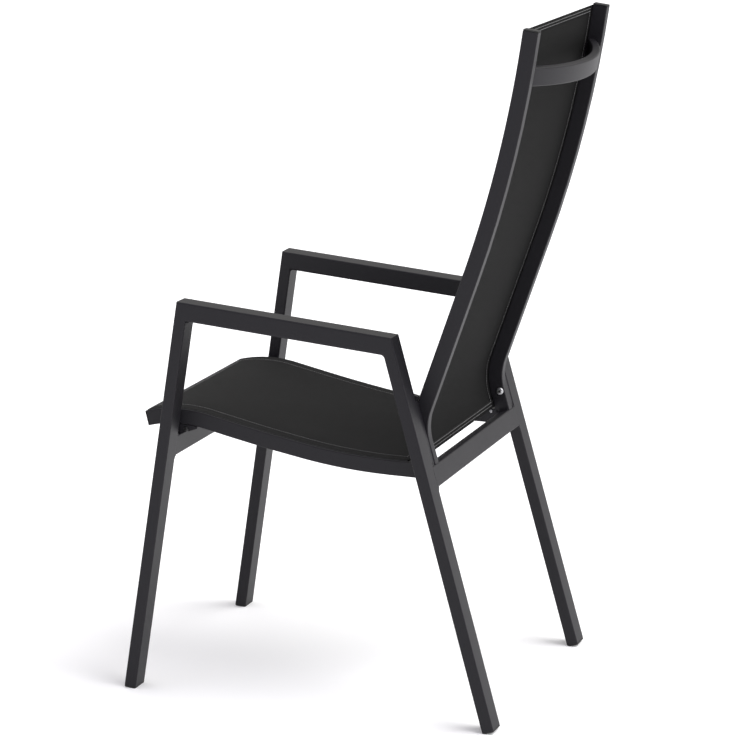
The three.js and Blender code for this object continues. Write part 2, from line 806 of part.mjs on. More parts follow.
// Fasteners of the back rails
const legInnerX = innerFaceX(backBolt.z);
const rivetNutX = legInnerX - gap - rivetNutFlangeThickness;

function backBoltBody() {
  const headX = railInnerX - gap - boltHeadHeight;
  const length = rivetNutX + rivetNutFlangeThickness + boltEngagedLength - headX;
  return turned(
    screwProfile(boltHeadRadius, boltHeadHeight, boltChamferWidth, boltRadius, length, socketRadius, socketDepth),
    headX, backBolt, 1);
}

// A spacer plate fills the gap between a back rail and its leg, set in a little from their rear faces
function backSpacer() {
  const footEnd = along(rearBarTop, rearUp, backFootLength);
  const corner = (base, ahead, above) => along(along(base, rearToFront, ahead), rearUp, above);
  const outline = [
    corner(rearBarTop, spacerFootDistance, gap),
    corner(rearBarTop, spacerFrontDistance, gap),
    corner(footEnd, spacerFrontDistance, spacerFrontHeight),
    corner(footEnd, -spacerTipRearDistance, spacerTipHeight),
    corner(footEnd, spacerShoulderDistance, spacerShoulderHeight),
  ];
  const plate = toSolid(sideExtrusion(outline, railOuterX + gap, railOuterX + overrunLength));
  const legSide = [-Math.cos(splay), 0, -Math.sin(splay)];
  const fitted = plate.trimByPlane(legSide, gap - Math.cos(splay) * innerFaceX(0));
  const hole = rod(boltRadius + boltClearance, railOuterX - overrunLength, railOuterX + overrunLength, backBolt);
  const recess = rod(rivetNutFlangeRadius + gap, rivetNutX - gap, railOuterX + overrunLength, backBolt);
  return toGeometry(fitted.subtract(toSolid(hole)).subtract(toSolid(recess)));
}

function rivetNut() {
  const bore = boltRadius + boltClearance;
  const ring = [
    [bore, 0],
    [rivetNutFlangeRadius, 0],
    [rivetNutFlangeRadius, rivetNutFlangeThickness],
    [rivetNutRadius, rivetNutFlangeThickness],
    [rivetNutRadius, rivetNutLength],
    [bore, rivetNutLength],
    [bore, 0],
  ];
  return turned(ring, rivetNutX, backBolt, 1);
}

function rearLeg() {
  const leg = placedSide(legTube(rearEnd, rearUp, rearOuterCorner, rearInnerCorner));
  const hole = rod(rivetNutRadius + boltClearance, legInnerX - legDepth, legInnerX + legDepth, backBolt);
  return toGeometry(toSolid(leg).subtract(toSolid(hole)));
}

function seatScrew() {
  const headX = railInnerX - gap - screwHeadHeight;
  return turned(
    screwProfile(screwHeadRadius, screwHeadHeight, screwChamferWidth, screwRadius, screwHeadHeight + screwLength,
      screwRecessRadius, screwRecessDepth),
    headX, screwPlace, 1);
}

// Lugs between the front crossbar and the crest of the seat rail. Their tops follow the rail's underside.
const crestUnderside = crest.radius - railDepth / 2 - gap;
const underRail = (y) => point(y, crestCenter.z + Math.sqrt(crestUnderside ** 2 - (y - crestCenter.y) ** 2));

const lugBolt = point(frontBarTop.y + lugBoltDistance, frontBarTop.z + lugBoltHeight);
const lugTailTop = underRail(frontBarTop.y + lugTailLength);
const lugTail = point(lugTailTop.y, lugTailTop.z - lugTailHeight);

function lug(footLength, lift, outerX) {
  const heel = along(frontBarTop, frontUp, lift);
  const toe = along(heel, frontToFront, footLength);
  const top = Array.from({ length: shortArcSteps + 1 }, (unused, i) =>
    underRail(lugTail.y + (toe.y - lugTail.y) * i / shortArcSteps));
  const plate = sideExtrusion([toe, heel, lugTail, ...top], outerX - lugThickness, outerX);
  const hole = rod(lugBoltRadius + boltClearance, outerX - overrunLength, outerX + overrunLength, lugBolt);
  return toGeometry(toSolid(plate).subtract(toSolid(hole)));
}

const outerLugX = railOuterX;
const innerLugX = outerLugX - lugThickness - gap;
const lugNutX = innerLugX - lugThickness - gap;

function lugBoltBody() {
  const headX = outerLugX + gap + lugBoltHeadHeight;
  const length = headX - (lugNutX - lugNutHeight) + lugBoltOverhangLength;
  return turned(
    screwProfile(lugBoltHeadRadius, lugBoltHeadHeight, lugBoltChamferWidth, lugBoltRadius, length,
      lugSocketRadius, lugSocketDepth),
    headX, lugBolt, -1);
}

function lugNut() {
  const hexagon = rod(lugNutRadius, lugNutX - lugNutHeight, lugNutX, lugBolt, 6);
  const bore = rod(lugBoltRadius + boltClearance, lugNutX - overrunLength, lugNutX + overrunLength, lugBolt);
  return toGeometry(toSolid(hexagon).subtract(toSolid(bore)));
}

const barHalf = (top) => innerFaceX(top.z) - gap;

addPair('front_leg', placedSide(legTube(frontEnd, frontUp, frontOuterCorner, frontInnerCorner)), powderCoat);
addPair('armrest', placedSide(armTube()), powderCoat);
addPair('rear_leg', rearLeg(), powderCoat);
addPair('front_glide', glide(frontEnd, frontUp), blackPlastic);
addPair('rear_glide', glide(rearEnd, rearUp), blackPlastic);

add('front_crossbar', crossTube(frontBarCenter, frontUp, barHalf(frontBarTop)), powderCoat);
add('rear_crossbar', crossTube(rearBarCenter, rearUp, barHalf(rearBarTop)), powderCoat);

addPair('back_rail', backRail(), powderCoat);
addPair('back_rail_cap', backCap, blackPlastic);
add('back_handle', backHandle(), powderCoat);

addPair('seat_rail', seatRail(), powderCoat);
addPair('seat_rail_cap', seatCap, blackPlastic);
add('seat_spreader', seatSpreader(), powderCoat);

add('back_sling', railSweep(slingSection(), new RailPath(backLine, backSlingFrom, backSlingTo, 0)), slingFabric);
add('seat_sling', railSweep(slingSection(), new RailPath(seatLine, seatSlingFrom, seatSlingTo, 0)), slingFabric);
addPair('back_welt', railSweep(weltSection(), new RailPath(backLine, backSlingFrom, backSlingTo, railX)),
  blackPlastic);
addPair('seat_welt', railSweep(weltSection(), new RailPath(seatLine, seatSlingFrom, seatSlingTo, railX)),
  blackPlastic);

addPair('back_bolt', backBoltBody(), brightSteel);
addPair('back_spacer', backSpacer(), powderCoat);
addPair('rivet_nut', rivetNut(), brightSteel);
addPair('seat_tongue', seatTongue(), powderCoat);
addPair('seat_screw', seatScrew(), brightSteel);
addPair('crossbar_lug', lug(lugFootLength, gap, outerLugX), powderCoat);
addPair('seat_lug', lug(seatLugFootLength, seatLugGap, innerLugX), powderCoat);
addPair('lug_bolt', lugBoltBody(), blackSteel);
addPair('lug_nut', lugNut(), blackSteel);

export default group;
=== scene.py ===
import math

import bmesh
import bpy
from bpy.props import FloatProperty, FloatVectorProperty, IntProperty, PointerProperty
from mathutils import Matrix, Vector


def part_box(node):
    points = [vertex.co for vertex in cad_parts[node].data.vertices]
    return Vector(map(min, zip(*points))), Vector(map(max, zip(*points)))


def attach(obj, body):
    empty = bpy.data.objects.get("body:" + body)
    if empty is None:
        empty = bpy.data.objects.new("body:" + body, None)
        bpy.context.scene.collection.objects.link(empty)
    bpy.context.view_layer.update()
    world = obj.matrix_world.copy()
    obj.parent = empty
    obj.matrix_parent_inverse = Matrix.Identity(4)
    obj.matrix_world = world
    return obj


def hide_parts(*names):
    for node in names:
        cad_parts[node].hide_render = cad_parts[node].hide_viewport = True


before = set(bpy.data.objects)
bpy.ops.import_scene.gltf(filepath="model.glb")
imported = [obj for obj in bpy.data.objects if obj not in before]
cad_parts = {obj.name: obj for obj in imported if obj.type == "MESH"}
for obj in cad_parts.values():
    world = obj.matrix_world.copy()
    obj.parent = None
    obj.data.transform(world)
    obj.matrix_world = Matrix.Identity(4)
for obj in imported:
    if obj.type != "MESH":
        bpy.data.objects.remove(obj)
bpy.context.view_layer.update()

# Sling patio chair. Metres, +Z up, the front faces -Y and the sitter's left is +X.

bl_info = {
    "name": "Sling patio chair",
    "version": (1, 0, 0),
    "blender": (4, 5, 0),
    "location": "View3D > Sidebar > Chair",
    "description": "Models the pieces of a high-backed sling patio chair on its packed frame",
    "category": "Object",
}

BODY = "root"
ACROSS = Vector((1, 0, 0))

# Small allowances in metres: gaps where pieces meet, and how far welds and welded ends go into other pieces
FIT_GAP = 0.0002
FOOT_GAP = 0.0003
FOOT_SINK = 0.0004
WELD_SINK = 0.0004
BAR_END_SINK = 0.0007
BAR_WELD_INSET = 0.0003
SAME_POINT = 1e-6

# Edges that turn more than this are rounded
ROUNDED_FROM = math.radians(48)


def length(name, description, default):
    return FloatProperty(name=name, description=description, default=default, unit="LENGTH", precision=5)


def angle_in_radians(name, description, default):
    return FloatProperty(name=name, description=description, default=default, subtype="ANGLE")


def angle(name, description, degrees):
    return angle_in_radians(name, description, math.radians(degrees))


def light_strength(name, description, default):
    return FloatProperty(name=name, description=description, default=default, min=0)


def count(name, description, default):
    return IntProperty(name=name, description=description, default=default, min=1)


def share(name, description, default):
    return FloatProperty(name=name, description=description, default=default, min=0, max=1, subtype="FACTOR")


def colour(name, description, default):
    return FloatVectorProperty(
        name=name, description=description, default=default, size=3, min=0, max=1, subtype="COLOR")


class SideFrameSizes(bpy.types.PropertyGroup):
    """Sizes of the two welded side frames"""

    floor_half_width: length("Half width", "From the middle to the outer face of a foot", 0.2786)
    splay: angle("Splay", "How far a side frame leans inward", 0.83)
    front_foot: length("Front foot", "From the middle forward to the front face of the front leg", 0.3395)
    rear_foot: length("Rear foot", "From the middle back to the rear face of the rear leg", 0.2993)
    front_lean: angle("Front lean", "Lean of the front leg", 6.9)
    rear_lean: angle("Rear lean", "Lean of the rear leg", 17.2)
    arm_top_height: length("Arm height", "Top face of the armrest at the chair's middle", 0.6366)
    arm_slope: angle("Arm slope", "Fall of the armrest towards the rear", 4.2)
    tube_width: length("Tube width", "Width of legs and armrests across the chair", 0.040)
    leg_depth: length("Leg depth", "Depth of the leg tube", 0.020)
    arm_depth: length("Arm depth", "Depth of the armrest tube", 0.030)
    corner_radius: length("Corner radius", "Radius of the tube's corners", 0.0023)
    corner_segments: count("Corner segments", "Facets of a tube corner", 4)
    mitre_radius: length("Mitre radius", "Ground radius of the outer mitre edges", 0.0009)
    rear_weld_radius: length("Rear weld", "Radius of the weld under the armrest at the rear leg", 0.0075)
    front_weld_radius: length("Front weld", "Radius of the weld under the armrest at the front leg", 0.005)
    glide_thickness: length("Glide thickness", "Plate of the plastic glide under a leg", 0.003)
    front_glide_wear: length("Front wear", "How far the front glide's low edge is worn", 0.0005)
    rear_glide_wear: length("Rear wear", "How far the rear glide's low edge is worn", 0.001)
    glide_edge: length("Glide edge", "Radius of the glide plate's edges", 0.0005)


class CrossbarSizes(bpy.types.PropertyGroup):
    """Sizes of the two crossbars"""

    height: length("Height", "Height of the crossbar tube", 0.035)
    depth: length("Depth", "Depth of the crossbar tube", 0.020)
    front_drop: length("Front drop", "From the seat's crest down to the front crossbar's foot", 0.0638)
    rear_drop: length("Rear drop", "From the seat rail's line down to the rear crossbar's foot", 0.0199)
    corner_radius: length("Corner radius", "Radius of the tube's corners", 0.0023)
    sink: length("Sink", "How far a crossbar's faces lie under the faces of the legs", 0.00005)
    weld_radius: length("Weld", "Radius of the welds at a crossbar's ends", 0.0055)


class RailSizes(bpy.types.PropertyGroup):
    """Sizes of the sling rails' section"""

    side_gap: length("Side gap", "Between a rail and the side frame at the rear crossbar", 0.0125)
    width: length("Width", "Width of the rail across the chair", 0.018)
    depth: length("Depth", "Depth of the rail, square to the sling", 0.025)
    corner_radius: length("Corner radius", "Radius of the rail's corners", 0.0016)
    groove_distance: length("Groove distance", "From the rail's outer face to the groove's middle", 0.0045)
    groove_radius: length("Groove radius", "Radius of the welt's groove", 0.0029)
    lip_thickness: length("Lip", "Wall over the groove", 0.0014)
    slot_width: length("Slot width", "Width of the groove's mouth", 0.0018)
    cap_thickness: length("Cap thickness", "Plate of the end cap", 0.0025)
    cap_edge: length("Cap edge", "Radius of the end cap's edges", 0.0011)
    cap_gap: length("Cap gap", "Between a cap and the rail's metal", 0.0003)
    weld_radius: length("Weld", "Radius of the welds at the foot of a back rail", 0.006)


class BackSizes(bpy.types.PropertyGroup):
    """Sizes of the back's line and of its handle"""

    foot_length: length("Foot length", "Straight foot of the back rail", 0.0369)
    bend_radius: length("Bend radius", "Radius of the bend above the crossbar", 0.0975)
    recline: angle("Recline", "Recline of the straight above the bend", 17.85)
    straight_length: length("Straight length", "From the bend's corner to the long arc", 0.256)
    arc_radius: length("Arc radius", "Radius of the long arc", 2.024)
    arc_turn: angle("Arc turn", "Turn of the long arc", 11.55)
    handle_drop: length("Handle drop", "From the top of the back down to the handle", 0.076)
    handle_height: length("Handle height", "Height of the handle's tube", 0.030)
    handle_depth: length("Handle depth", "Depth of the handle's tube", 0.014)
    handle_bow: length("Handle bow", "How far the handle bows to the rear", 0.0434)
    handle_forward: length("Handle forward", "From the rail's middle line to the handle's ends", 0.0031)
    handle_corner: length("Handle corner", "Radius of the handle's corners", 0.0024)
    handle_weld: length("Handle weld", "Radius of the welds at the handle's ends", 0.003)


class SeatSizes(bpy.types.PropertyGroup):
    """Sizes of the seat's line"""

    rear_height: length("Rear height", "Height of the seat rail's line at the rear", 0.4059)
    rear_length: length("Rear length", "Level length at the rear", 0.0602)
    rise_radius: length("Rise radius", "Radius of the first arc", 0.912)
    rise_turn: angle("Rise turn", "Turn of the first arc", 8.9)
    slope_radius: length("Slope radius", "Radius of the second arc", 2.612)
    slope_turn: angle("Slope turn", "Turn of the second arc", 2.7)
    crest_distance: length("Crest distance", "From the front foot back to the crest's start", 0.112)
    crest_radius: length("Crest radius", "Radius of the crest", 0.203)
    crest_turn: angle("Crest turn", "Turn of the crest", 26.9)
    nose_length: length("Nose length", "Straight end in front of the crest", 0.0068)
    spreader_distance: length("Spreader distance", "From the rear end to the spreader", 0.180)
    spreader_radius: length("Spreader radius", "Radius of the round spreader", 0.008)


class SlingSizes(bpy.types.PropertyGroup):
    """Sizes of the slings and their sewing"""

    cloth_thickness: length("Cloth thickness", "Thickness of one layer of the sling", 0.00062)
    layer_rise: length("Layer rise", "From the hem's layer to the upper layer", 0.00066)
    hem_level: length("Hem level", "From a rail's middle line to the hem's layer", 0.01295)
    slot_bend: length("Slot bend", "Radius of the sling's bend into the slot", 0.0009)
    lip_level: length("Lip level", "How deep the sling's lip goes, from the rail's middle line", 0.0109)
    end_hem: length("End hem", "Turned-under length at the sling's free ends", 0.0128)
    side_hem: length("Side hem", "From the rail's outer face to the edge of the side hem", 0.0315)
    side_row: length("Side row", "From the rail's outer face to the row of stitches", 0.029)
    first_row: length("First row", "From a free end to the first row of stitches", 0.005)
    second_row: length("Second row", "From a free end to the second row of stitches", 0.010)
    stitch_length: length("Stitch length", "Length of one stitch", 0.0030)
    stitch_pitch: length("Stitch pitch", "From one stitch to the next", 0.0040)
    stitch_width: length("Stitch width", "Width of the thread", 0.0012)
    back_from: length("Back start", "From the back rail's foot to the sling", 0.010)
    end_gap: length("End gap", "Between a sling's end and the cap", 0.0006)
    seat_rear_gap: length("Seat rear gap", "From the rear crossbar to the seat sling", 0.030)
    seat_sag: length("Seat sag", "How deep the seat sling hangs at its crest", 0.0018)
    back_sag: length("Back sag", "How deep the back sling lies at the bend", 0.0022)
    squares_across: count("Squares across", "Squares of a sling's mesh across the chair", 44)
    square_length: length("Square length", "Length of a sling's squares", 0.0085)


class FastenerSizes(bpy.types.PropertyGroup):
    """Sizes of bolts, nuts and screws"""

    back_bolt_head_radius: length("Back bolt head", "Radius of the back bolt's head", 0.0062)
    back_bolt_head_height: length("Back bolt head height", "Height of the back bolt's head", 0.0038)
    back_bolt_socket_radius: length("Back bolt socket", "Corner radius of its hexagon socket", 0.0022)
    back_bolt_socket_depth: length("Back bolt socket depth", "Depth of its socket", 0.002)
    lug_bolt_head_radius: length("Lug bolt head", "Radius of the lug bolt's head", 0.0042)
    lug_bolt_head_height: length("Lug bolt head height", "Height of the lug bolt's head", 0.0028)
    lug_bolt_socket_radius: length("Lug bolt socket", "Corner radius of its hexagon socket", 0.0016)
    lug_bolt_socket_depth: length("Lug bolt socket depth", "Depth of its socket", 0.0014)
    seat_screw_head_radius: length("Seat screw head", "Radius of the seat screw's head", 0.0026)
    seat_screw_head_height: length("Seat screw head height", "Height of the seat screw's head", 0.0017)
    seat_screw_socket_radius: length("Seat screw socket", "Corner radius of its hexagon socket", 0.0011)
    seat_screw_socket_depth: length("Seat screw socket depth", "Depth of its socket", 0.0008)
    flange_radius: length("Flange", "Radius of the rivet nut's flange", 0.0060)
    flange_thickness: length("Flange thickness", "Thickness of the rivet nut's flange", 0.0008)
    barrel_radius: length("Barrel", "Radius of the rivet nut's barrel", 0.0045)
    bore_radius: length("Bore", "Radius of the rivet nut's bore", 0.00335)
    edge: length("Edge", "Bevel of the small plates", 0.0006)
    nut_edge: length("Nut edge", "Bevel of the lug nuts", 0.00042)


class Finishes(bpy.types.PropertyGroup):
    """Colours and gloss of the chair's finishes"""

    coat_colour: colour("Powder coat", "Colour of the powder coat", (0.0106, 0.0100, 0.0126))
    coat_roughness: share("Coat roughness", "Roughness of the powder coat", 0.50)
    # Painted light and shade: the first yarn colour goes where the cloth faces up or forward, the second
    # where it faces down or back
    yarn_face: colour("Yarn face", "Colour of the yarn on the sitting side", (0.0240, 0.0240, 0.0238))
    yarn_back: colour("Yarn back", "Colour of the yarn on the side that faces away", (0.0128, 0.0128, 0.0127))
    # Painted highlight on the fold where a sling goes into its rails
    fold_colour: colour("Fold", "Colour of the stretched fold along a sling's sides", (0.048, 0.048, 0.048))
    # Painted shade in the hollows between the yarns
    yarn_shade: colour("Yarn shade", "Colour between the sling's yarns", (0.0042, 0.0042, 0.0042))
    yarn_roughness: share("Yarn roughness", "Roughness of the coated yarn", 0.76)
    yarn_pitch: length("Yarn pitch", "From one yarn to the next", 0.0013)
    thread_colour: colour("Thread", "Colour of the sewing thread", (0.20, 0.20, 0.20))
    plastic_colour: colour("Plastic", "Colour of the moulded plastic", (0.0042, 0.0042, 0.0045))
    plastic_roughness: share("Plastic roughness", "Roughness of the moulded plastic", 0.72)
    steel_colour: colour("Steel", "Colour of the bright steel", (0.62, 0.62, 0.63))
    steel_roughness: share("Steel roughness", "Roughness of the bright steel", 0.24)
    oxide_colour: colour("Black oxide", "Colour of the blackened steel", (0.055, 0.055, 0.057))


class StageSettings(bpy.types.PropertyGroup):
    """Floor, light and camera"""

    floor_colour: colour("Floor", "Colour of the floor", (0.93, 0.93, 0.93))
    floor_glow: light_strength("Floor glow", "Light that the studio's white floor gives off", 0.12)
    top_light: light_strength("Top light", "Strength of the surroundings straight above", 1.05)
    far_light: light_strength("Far light", "Strength of the surroundings beyond the chair", 0.54)
    near_light: light_strength("Near light", "Strength of the surroundings behind the camera", 0.23)
    key_strength: light_strength("Key light", "Strength of the broad light above and behind", 2.6)
    key_spread: angle("Key spread", "Width of the broad light", 60)
    key_way: FloatVectorProperty(
        name="Key way", description="Where the broad light shines to", default=(0.15, -0.75, -1.0), size=3,
        subtype="DIRECTION")
    camera_place: FloatVectorProperty(
        name="Camera", description="Where the camera stands", default=(5.22212, 1.69839, 1.72156), size=3,
        subtype="TRANSLATION", unit="LENGTH")
    camera_turn: angle_in_radians("Camera turn", "Turn of the camera about the vertical", 1.88883697)
    camera_drop: angle_in_radians("Camera drop", "How far the camera looks down", 0.21600242)
    camera_roll: angle_in_radians("Camera roll", "Roll of the camera about its view", 0.02617994)
    focal_length: FloatProperty(
        name="Focal length", description="Focal length for the sensor's width", default=164.925,
        unit="CAMERA")
    sensor_width: FloatProperty(
        name="Sensor width", description="Width of the camera's sensor", default=36, unit="CAMERA")


class ChairSettings(bpy.types.PropertyGroup):
    """All sizes and colours of the chair"""

    side: PointerProperty(type=SideFrameSizes, name="Side frames", description="Sizes of the side frames")
    bars: PointerProperty(type=CrossbarSizes, name="Crossbars", description="Sizes of the crossbars")
    rail: PointerProperty(type=RailSizes, name="Rails", description="Sizes of the rails' section")
    back: PointerProperty(type=BackSizes, name="Back", description="Sizes of the back")
    seat: PointerProperty(type=SeatSizes, name="Seat", description="Sizes of the seat")
    sling: PointerProperty(type=SlingSizes, name="Slings", description="Sizes of the slings")
    fastener: PointerProperty(type=FastenerSizes, name="Fasteners", description="Sizes of the fasteners")
    finish: PointerProperty(type=Finishes, name="Finishes", description="Colours and gloss")
    stage: PointerProperty(type=StageSettings, name="Stage", description="Floor, light and camera")


# Lines in the side plane: x is nought, y runs to the rear and z up
def heading(turn):
    return Vector((0, math.cos(turn), math.sin(turn)))


def left_of(way):
    return Vector((0, -way.z, way.y))


def crossing(point_a, way_a, point_b, way_b):
    spread = way_a.y * way_b.z - way_a.z * way_b.y
    between = point_b - point_a
    return point_a + way_a * ((between.y * way_b.z - between.z * way_b.y) / spread)


def matrix_from(x_axis, y_axis, z_axis, origin):
    return Matrix((
        (x_axis.x, y_axis.x, z_axis.x, origin.x),
        (x_axis.y, y_axis.y, z_axis.y, origin.y),
        (x_axis.z, y_axis.z, z_axis.z, origin.z),
        (0, 0, 0, 1),
    ))


class BentLine:
    """Straights and arcs in the side plane. A turn above nought bends to the left of travel."""

    least_step = 1e-4

    def __init__(self, start, turn, segments):
        self.parts = []
        self.length = 0
        for size, bend in segments:
            self.parts.append((start, turn, size, bend, self.length))
            start = self.reach(start, turn, size, bend, size)
            turn += bend
            self.length += size

    @staticmethod
    def reach(start, turn, size, bend, distance):
        if not bend:
            return start + heading(turn) * distance
        radius = size / bend
        center = start + left_of(heading(turn)) * radius
        return center - left_of(heading(turn + bend * distance / size)) * radius

    def pose(self, distance):
        """The point and the turn at a distance along the line."""
        passed = [part for part in self.parts[1:] if part[-1] <= distance]
        start, turn, size, bend, run = passed[-1] if passed else self.parts[0]
        inside = distance - run
        return self.reach(start, turn, size, bend, inside), turn + bend * inside / size

    def place(self, distance, x):
        """A section's place on the line: its x points away from +X and its y to the left of travel."""
        point, turn = self.pose(distance)
        way = heading(turn)
        return matrix_from(-ACROSS, left_of(way), way, point + ACROSS * x)

    def stops(self, low, high, turn_step=math.radians(1.5)):
        """Distances for a sweep from low to high, with one for each step of turn on the arcs."""
        found = [low]
        for *_, size, bend, run in self.parts:
            steps = max(1, math.ceil(abs(bend) / turn_step))
            for i in range(steps + 1):
                distance = run + size * i / steps
                if found[-1] + self.least_step < distance < high - self.least_step:
                    found.append(distance)
        return [*found, high]


class Layout:
    """The chair's lines and points, worked out from the settings."""

    def __init__(self, chair):
        side, bars, rail, seat = chair.side, chair.bars, chair.rail, chair.seat
        self.side = side
        self.front_up = Vector((0, math.sin(side.front_lean), math.cos(side.front_lean)))
        self.front_to_rear = Vector((0, math.cos(side.front_lean), -math.sin(side.front_lean)))
        self.rear_up = Vector((0, -math.sin(side.rear_lean), math.cos(side.rear_lean)))
        self.rear_to_front = Vector((0, -math.cos(side.rear_lean), -math.sin(side.rear_lean)))
        self.arm_back = Vector((0, math.cos(side.arm_slope), -math.sin(side.arm_slope)))
        arm_down = Vector((0, -math.sin(side.arm_slope), -math.cos(side.arm_slope)))
        front_foot = Vector((0, -side.front_foot, 0))
        rear_foot = Vector((0, side.rear_foot, 0))
        arm_top = Vector((0, 0, side.arm_top_height))
        arm_bottom = arm_top + arm_down * side.arm_depth
        self.front_inner = front_foot + self.front_to_rear * side.leg_depth
        self.rear_inner = rear_foot + self.rear_to_front * side.leg_depth
        self.front_outer_corner = crossing(front_foot, self.front_up, arm_top, self.arm_back)
        self.front_inner_corner = crossing(self.front_inner, self.front_up, arm_bottom, self.arm_back)
        self.rear_outer_corner = crossing(rear_foot, self.rear_up, arm_top, self.arm_back)
        self.rear_inner_corner = crossing(self.rear_inner, self.rear_up, arm_bottom, self.arm_back)
        self.side_place = Matrix.Translation((side.floor_half_width, 0, 0)) @ Matrix.Rotation(
            -side.splay, 4, "Y")

        rear_bottom = seat.rear_height - bars.rear_drop
        rear_bar_corner = rear_foot + self.rear_up * (rear_bottom / self.rear_up.z)
        self.rear_bar_top = rear_bar_corner + self.rear_up * bars.height
        self.rear_bar_front = rear_bar_corner + self.rear_to_front * bars.depth
        self.rear_bar_middle = (
            rear_bar_corner + self.rear_up * (bars.height / 2) + self.rear_to_front * (bars.depth / 2))
        self.rail_outer = self.inner_face(self.rear_bar_top.z) - rail.side_gap
        self.rail_x = self.rail_outer - rail.width / 2
        self.rail_inner = self.rail_outer - rail.width

        self.draw_back(chair)
        crest_top = self.draw_seat(chair, front_foot)
        front_bar_corner = self.front_inner + self.front_up * (
            (crest_top - bars.front_drop - self.front_inner.z) / self.front_up.z)
        self.front_bar_middle = (
            front_bar_corner + self.front_up * (bars.height / 2) - self.front_to_rear * (bars.depth / 2))

    def draw_back(self, chair):
        """The back rail's line, from its foot on the crossbar up."""
        side, rail, back = chair.side, chair.rail, chair.back
        bend = side.rear_lean + back.recline
        tangent = back.bend_radius * math.tan(bend / 2)
        start = self.rear_bar_top + self.rear_up * FOOT_GAP + self.rear_to_front * (rail.depth / 2)
        self.back_line = BentLine(start, math.pi / 2 + side.rear_lean, [
            (back.foot_length, 0),
            (back.bend_radius * bend, -bend),
            (back.straight_length - tangent, 0),
            (back.arc_radius * back.arc_turn, back.arc_turn),
        ])
        self.back_metal = self.back_line.length - rail.cap_thickness - rail.cap_gap

    def draw_seat(self, chair, front_foot):
        """The seat rail's line, from its front end to the rear. Gives the height of the crest."""
        rail, seat = chair.rail, chair.seat
        overrun = 0.030
        rear_parts = [
            (seat.rear_length + overrun, 0),
            (seat.rise_radius * seat.rise_turn, -seat.rise_turn),
            (seat.slope_radius * seat.slope_turn, -seat.slope_turn),
        ]
        seat_rear = crossing(self.rear_bar_front, self.rear_up, Vector((0, 0, seat.rear_height)), heading(0))
        start = seat_rear + Vector((0, overrun, 0))
        rear_part = BentLine(start, math.pi, rear_parts)
        slope_end, slope_turn = rear_part.pose(rear_part.length)
        level = (slope_end.y - front_foot.y - seat.crest_distance) / -math.cos(slope_turn)
        parts = [
            *rear_parts,
            (level, 0),
            (seat.crest_radius * seat.crest_turn, seat.crest_turn),
            (seat.nose_length, 0),
        ]
        forward = BentLine(start, math.pi, parts)
        front, front_turn = forward.pose(forward.length)
        self.seat_line = BentLine(front, front_turn - math.pi, [(size, -turn) for size, turn in parts[::-1]])
        self.seat_rear_end = self.seat_line.length - overrun
        self.seat_metal = rail.cap_thickness + rail.cap_gap
        crest_start, crest_turn = forward.parts[-2][:2]
        crest_center = crest_start + left_of(heading(crest_turn)) * seat.crest_radius
        return crest_center.z + seat.crest_radius

    def inner_face(self, height):
        """How far the inner face of a side frame is from the middle, at a height."""
        side = self.side
        return side.floor_half_width - side.tube_width / math.cos(side.splay) - height * math.tan(side.splay)

    def foot(self, inner, toward_outer, up, wear):
        """The inner and outer corners of a leg's square-cut end, where the glide's plate meets the floor."""
        low = inner + up * (-inner.z / up.z - wear)
        return low, low + toward_outer * self.side.leg_depth


# Node materials
class Signal:
    """The output of a node, for use in sums."""

    def __init__(self, paint, socket):
        self.paint = paint
        self.socket = socket

    def out(self, name):
        return Signal(self.paint, self.socket.node.outputs[name])

    def sum(self, operation, *values):
        return self.paint.node("ShaderNodeMath", {"operation": operation}, dict(enumerate(values)))

    def __add__(self, other):
        return self.sum("ADD", self, other)

    def __radd__(self, other):
        return self.sum("ADD", other, self)

    def __sub__(self, other):
        return self.sum("SUBTRACT", self, other)

    def __rsub__(self, other):
        return self.sum("SUBTRACT", other, self)

    def __mul__(self, other):
        return self.sum("MULTIPLY", self, other)

    def __rmul__(self, other):
        return self.sum("MULTIPLY", other, self)

    def __pow__(self, other):
        return self.sum("POWER", self, other)

    def __rpow__(self, other):
        return self.sum("POWER", other, self)

    def __abs__(self):
        return self.sum("ABSOLUTE", self)

    def sine(self):
        return self.sum("SINE", self)

    def kept(self):
        """The value kept between nought and one."""
        return self.paint.node("ShaderNodeClamp", {}, {"Value": self})


class Paint:
    """Builds the nodes of one material or of the surroundings."""

    def __init__(self, tree):
        self.tree = tree
        tree.nodes.clear()

    def node(self, kind, settings=None, inputs=None, output=0):
        made = self.tree.nodes.new(kind)
        for setting, value in (settings or {}).items():
            setattr(made, setting, value)
        for socket, value in (inputs or {}).items():
            if isinstance(value, Signal):
                self.tree.links.new(value.socket, made.inputs[socket])
            else:
                made.inputs[socket].default_value = value
        return Signal(self, made.outputs[output]) if made.outputs else None

    def parts(self, vector):
        return self.node("ShaderNodeSeparateXYZ", {}, {"Vector": vector})

    def noise(self, scale, detail, roughness=0.5, place=None):
        """Noise on the piece's own coordinates, or on those given."""
        place = place or self.node("ShaderNodeTexCoord", output="Object")
        return self.node("ShaderNodeTexNoise", {}, {
            "Vector": place, "Scale": scale, "Detail": detail, "Roughness": roughness})

    def blend(self, factor, *shades):
        first, second = (shade if isinstance(shade, Signal) else (*shade, 1) for shade in shades)
        return self.node("ShaderNodeMix", {"data_type": "RGBA"}, {0: factor, 6: first, 7: second}, output=2)

    def tones(self, factor, shade, dark, light):
        """One colour, from a darker to a lighter tone of it."""
        return self.blend(factor, *(
            [min(1.0, part * tone) for part in shade] for tone in (dark, light)))

    def bump(self, height, strength, distance):
        return self.node("ShaderNodeBump", {}, {"Height": height, "Strength": strength, "Distance": distance})


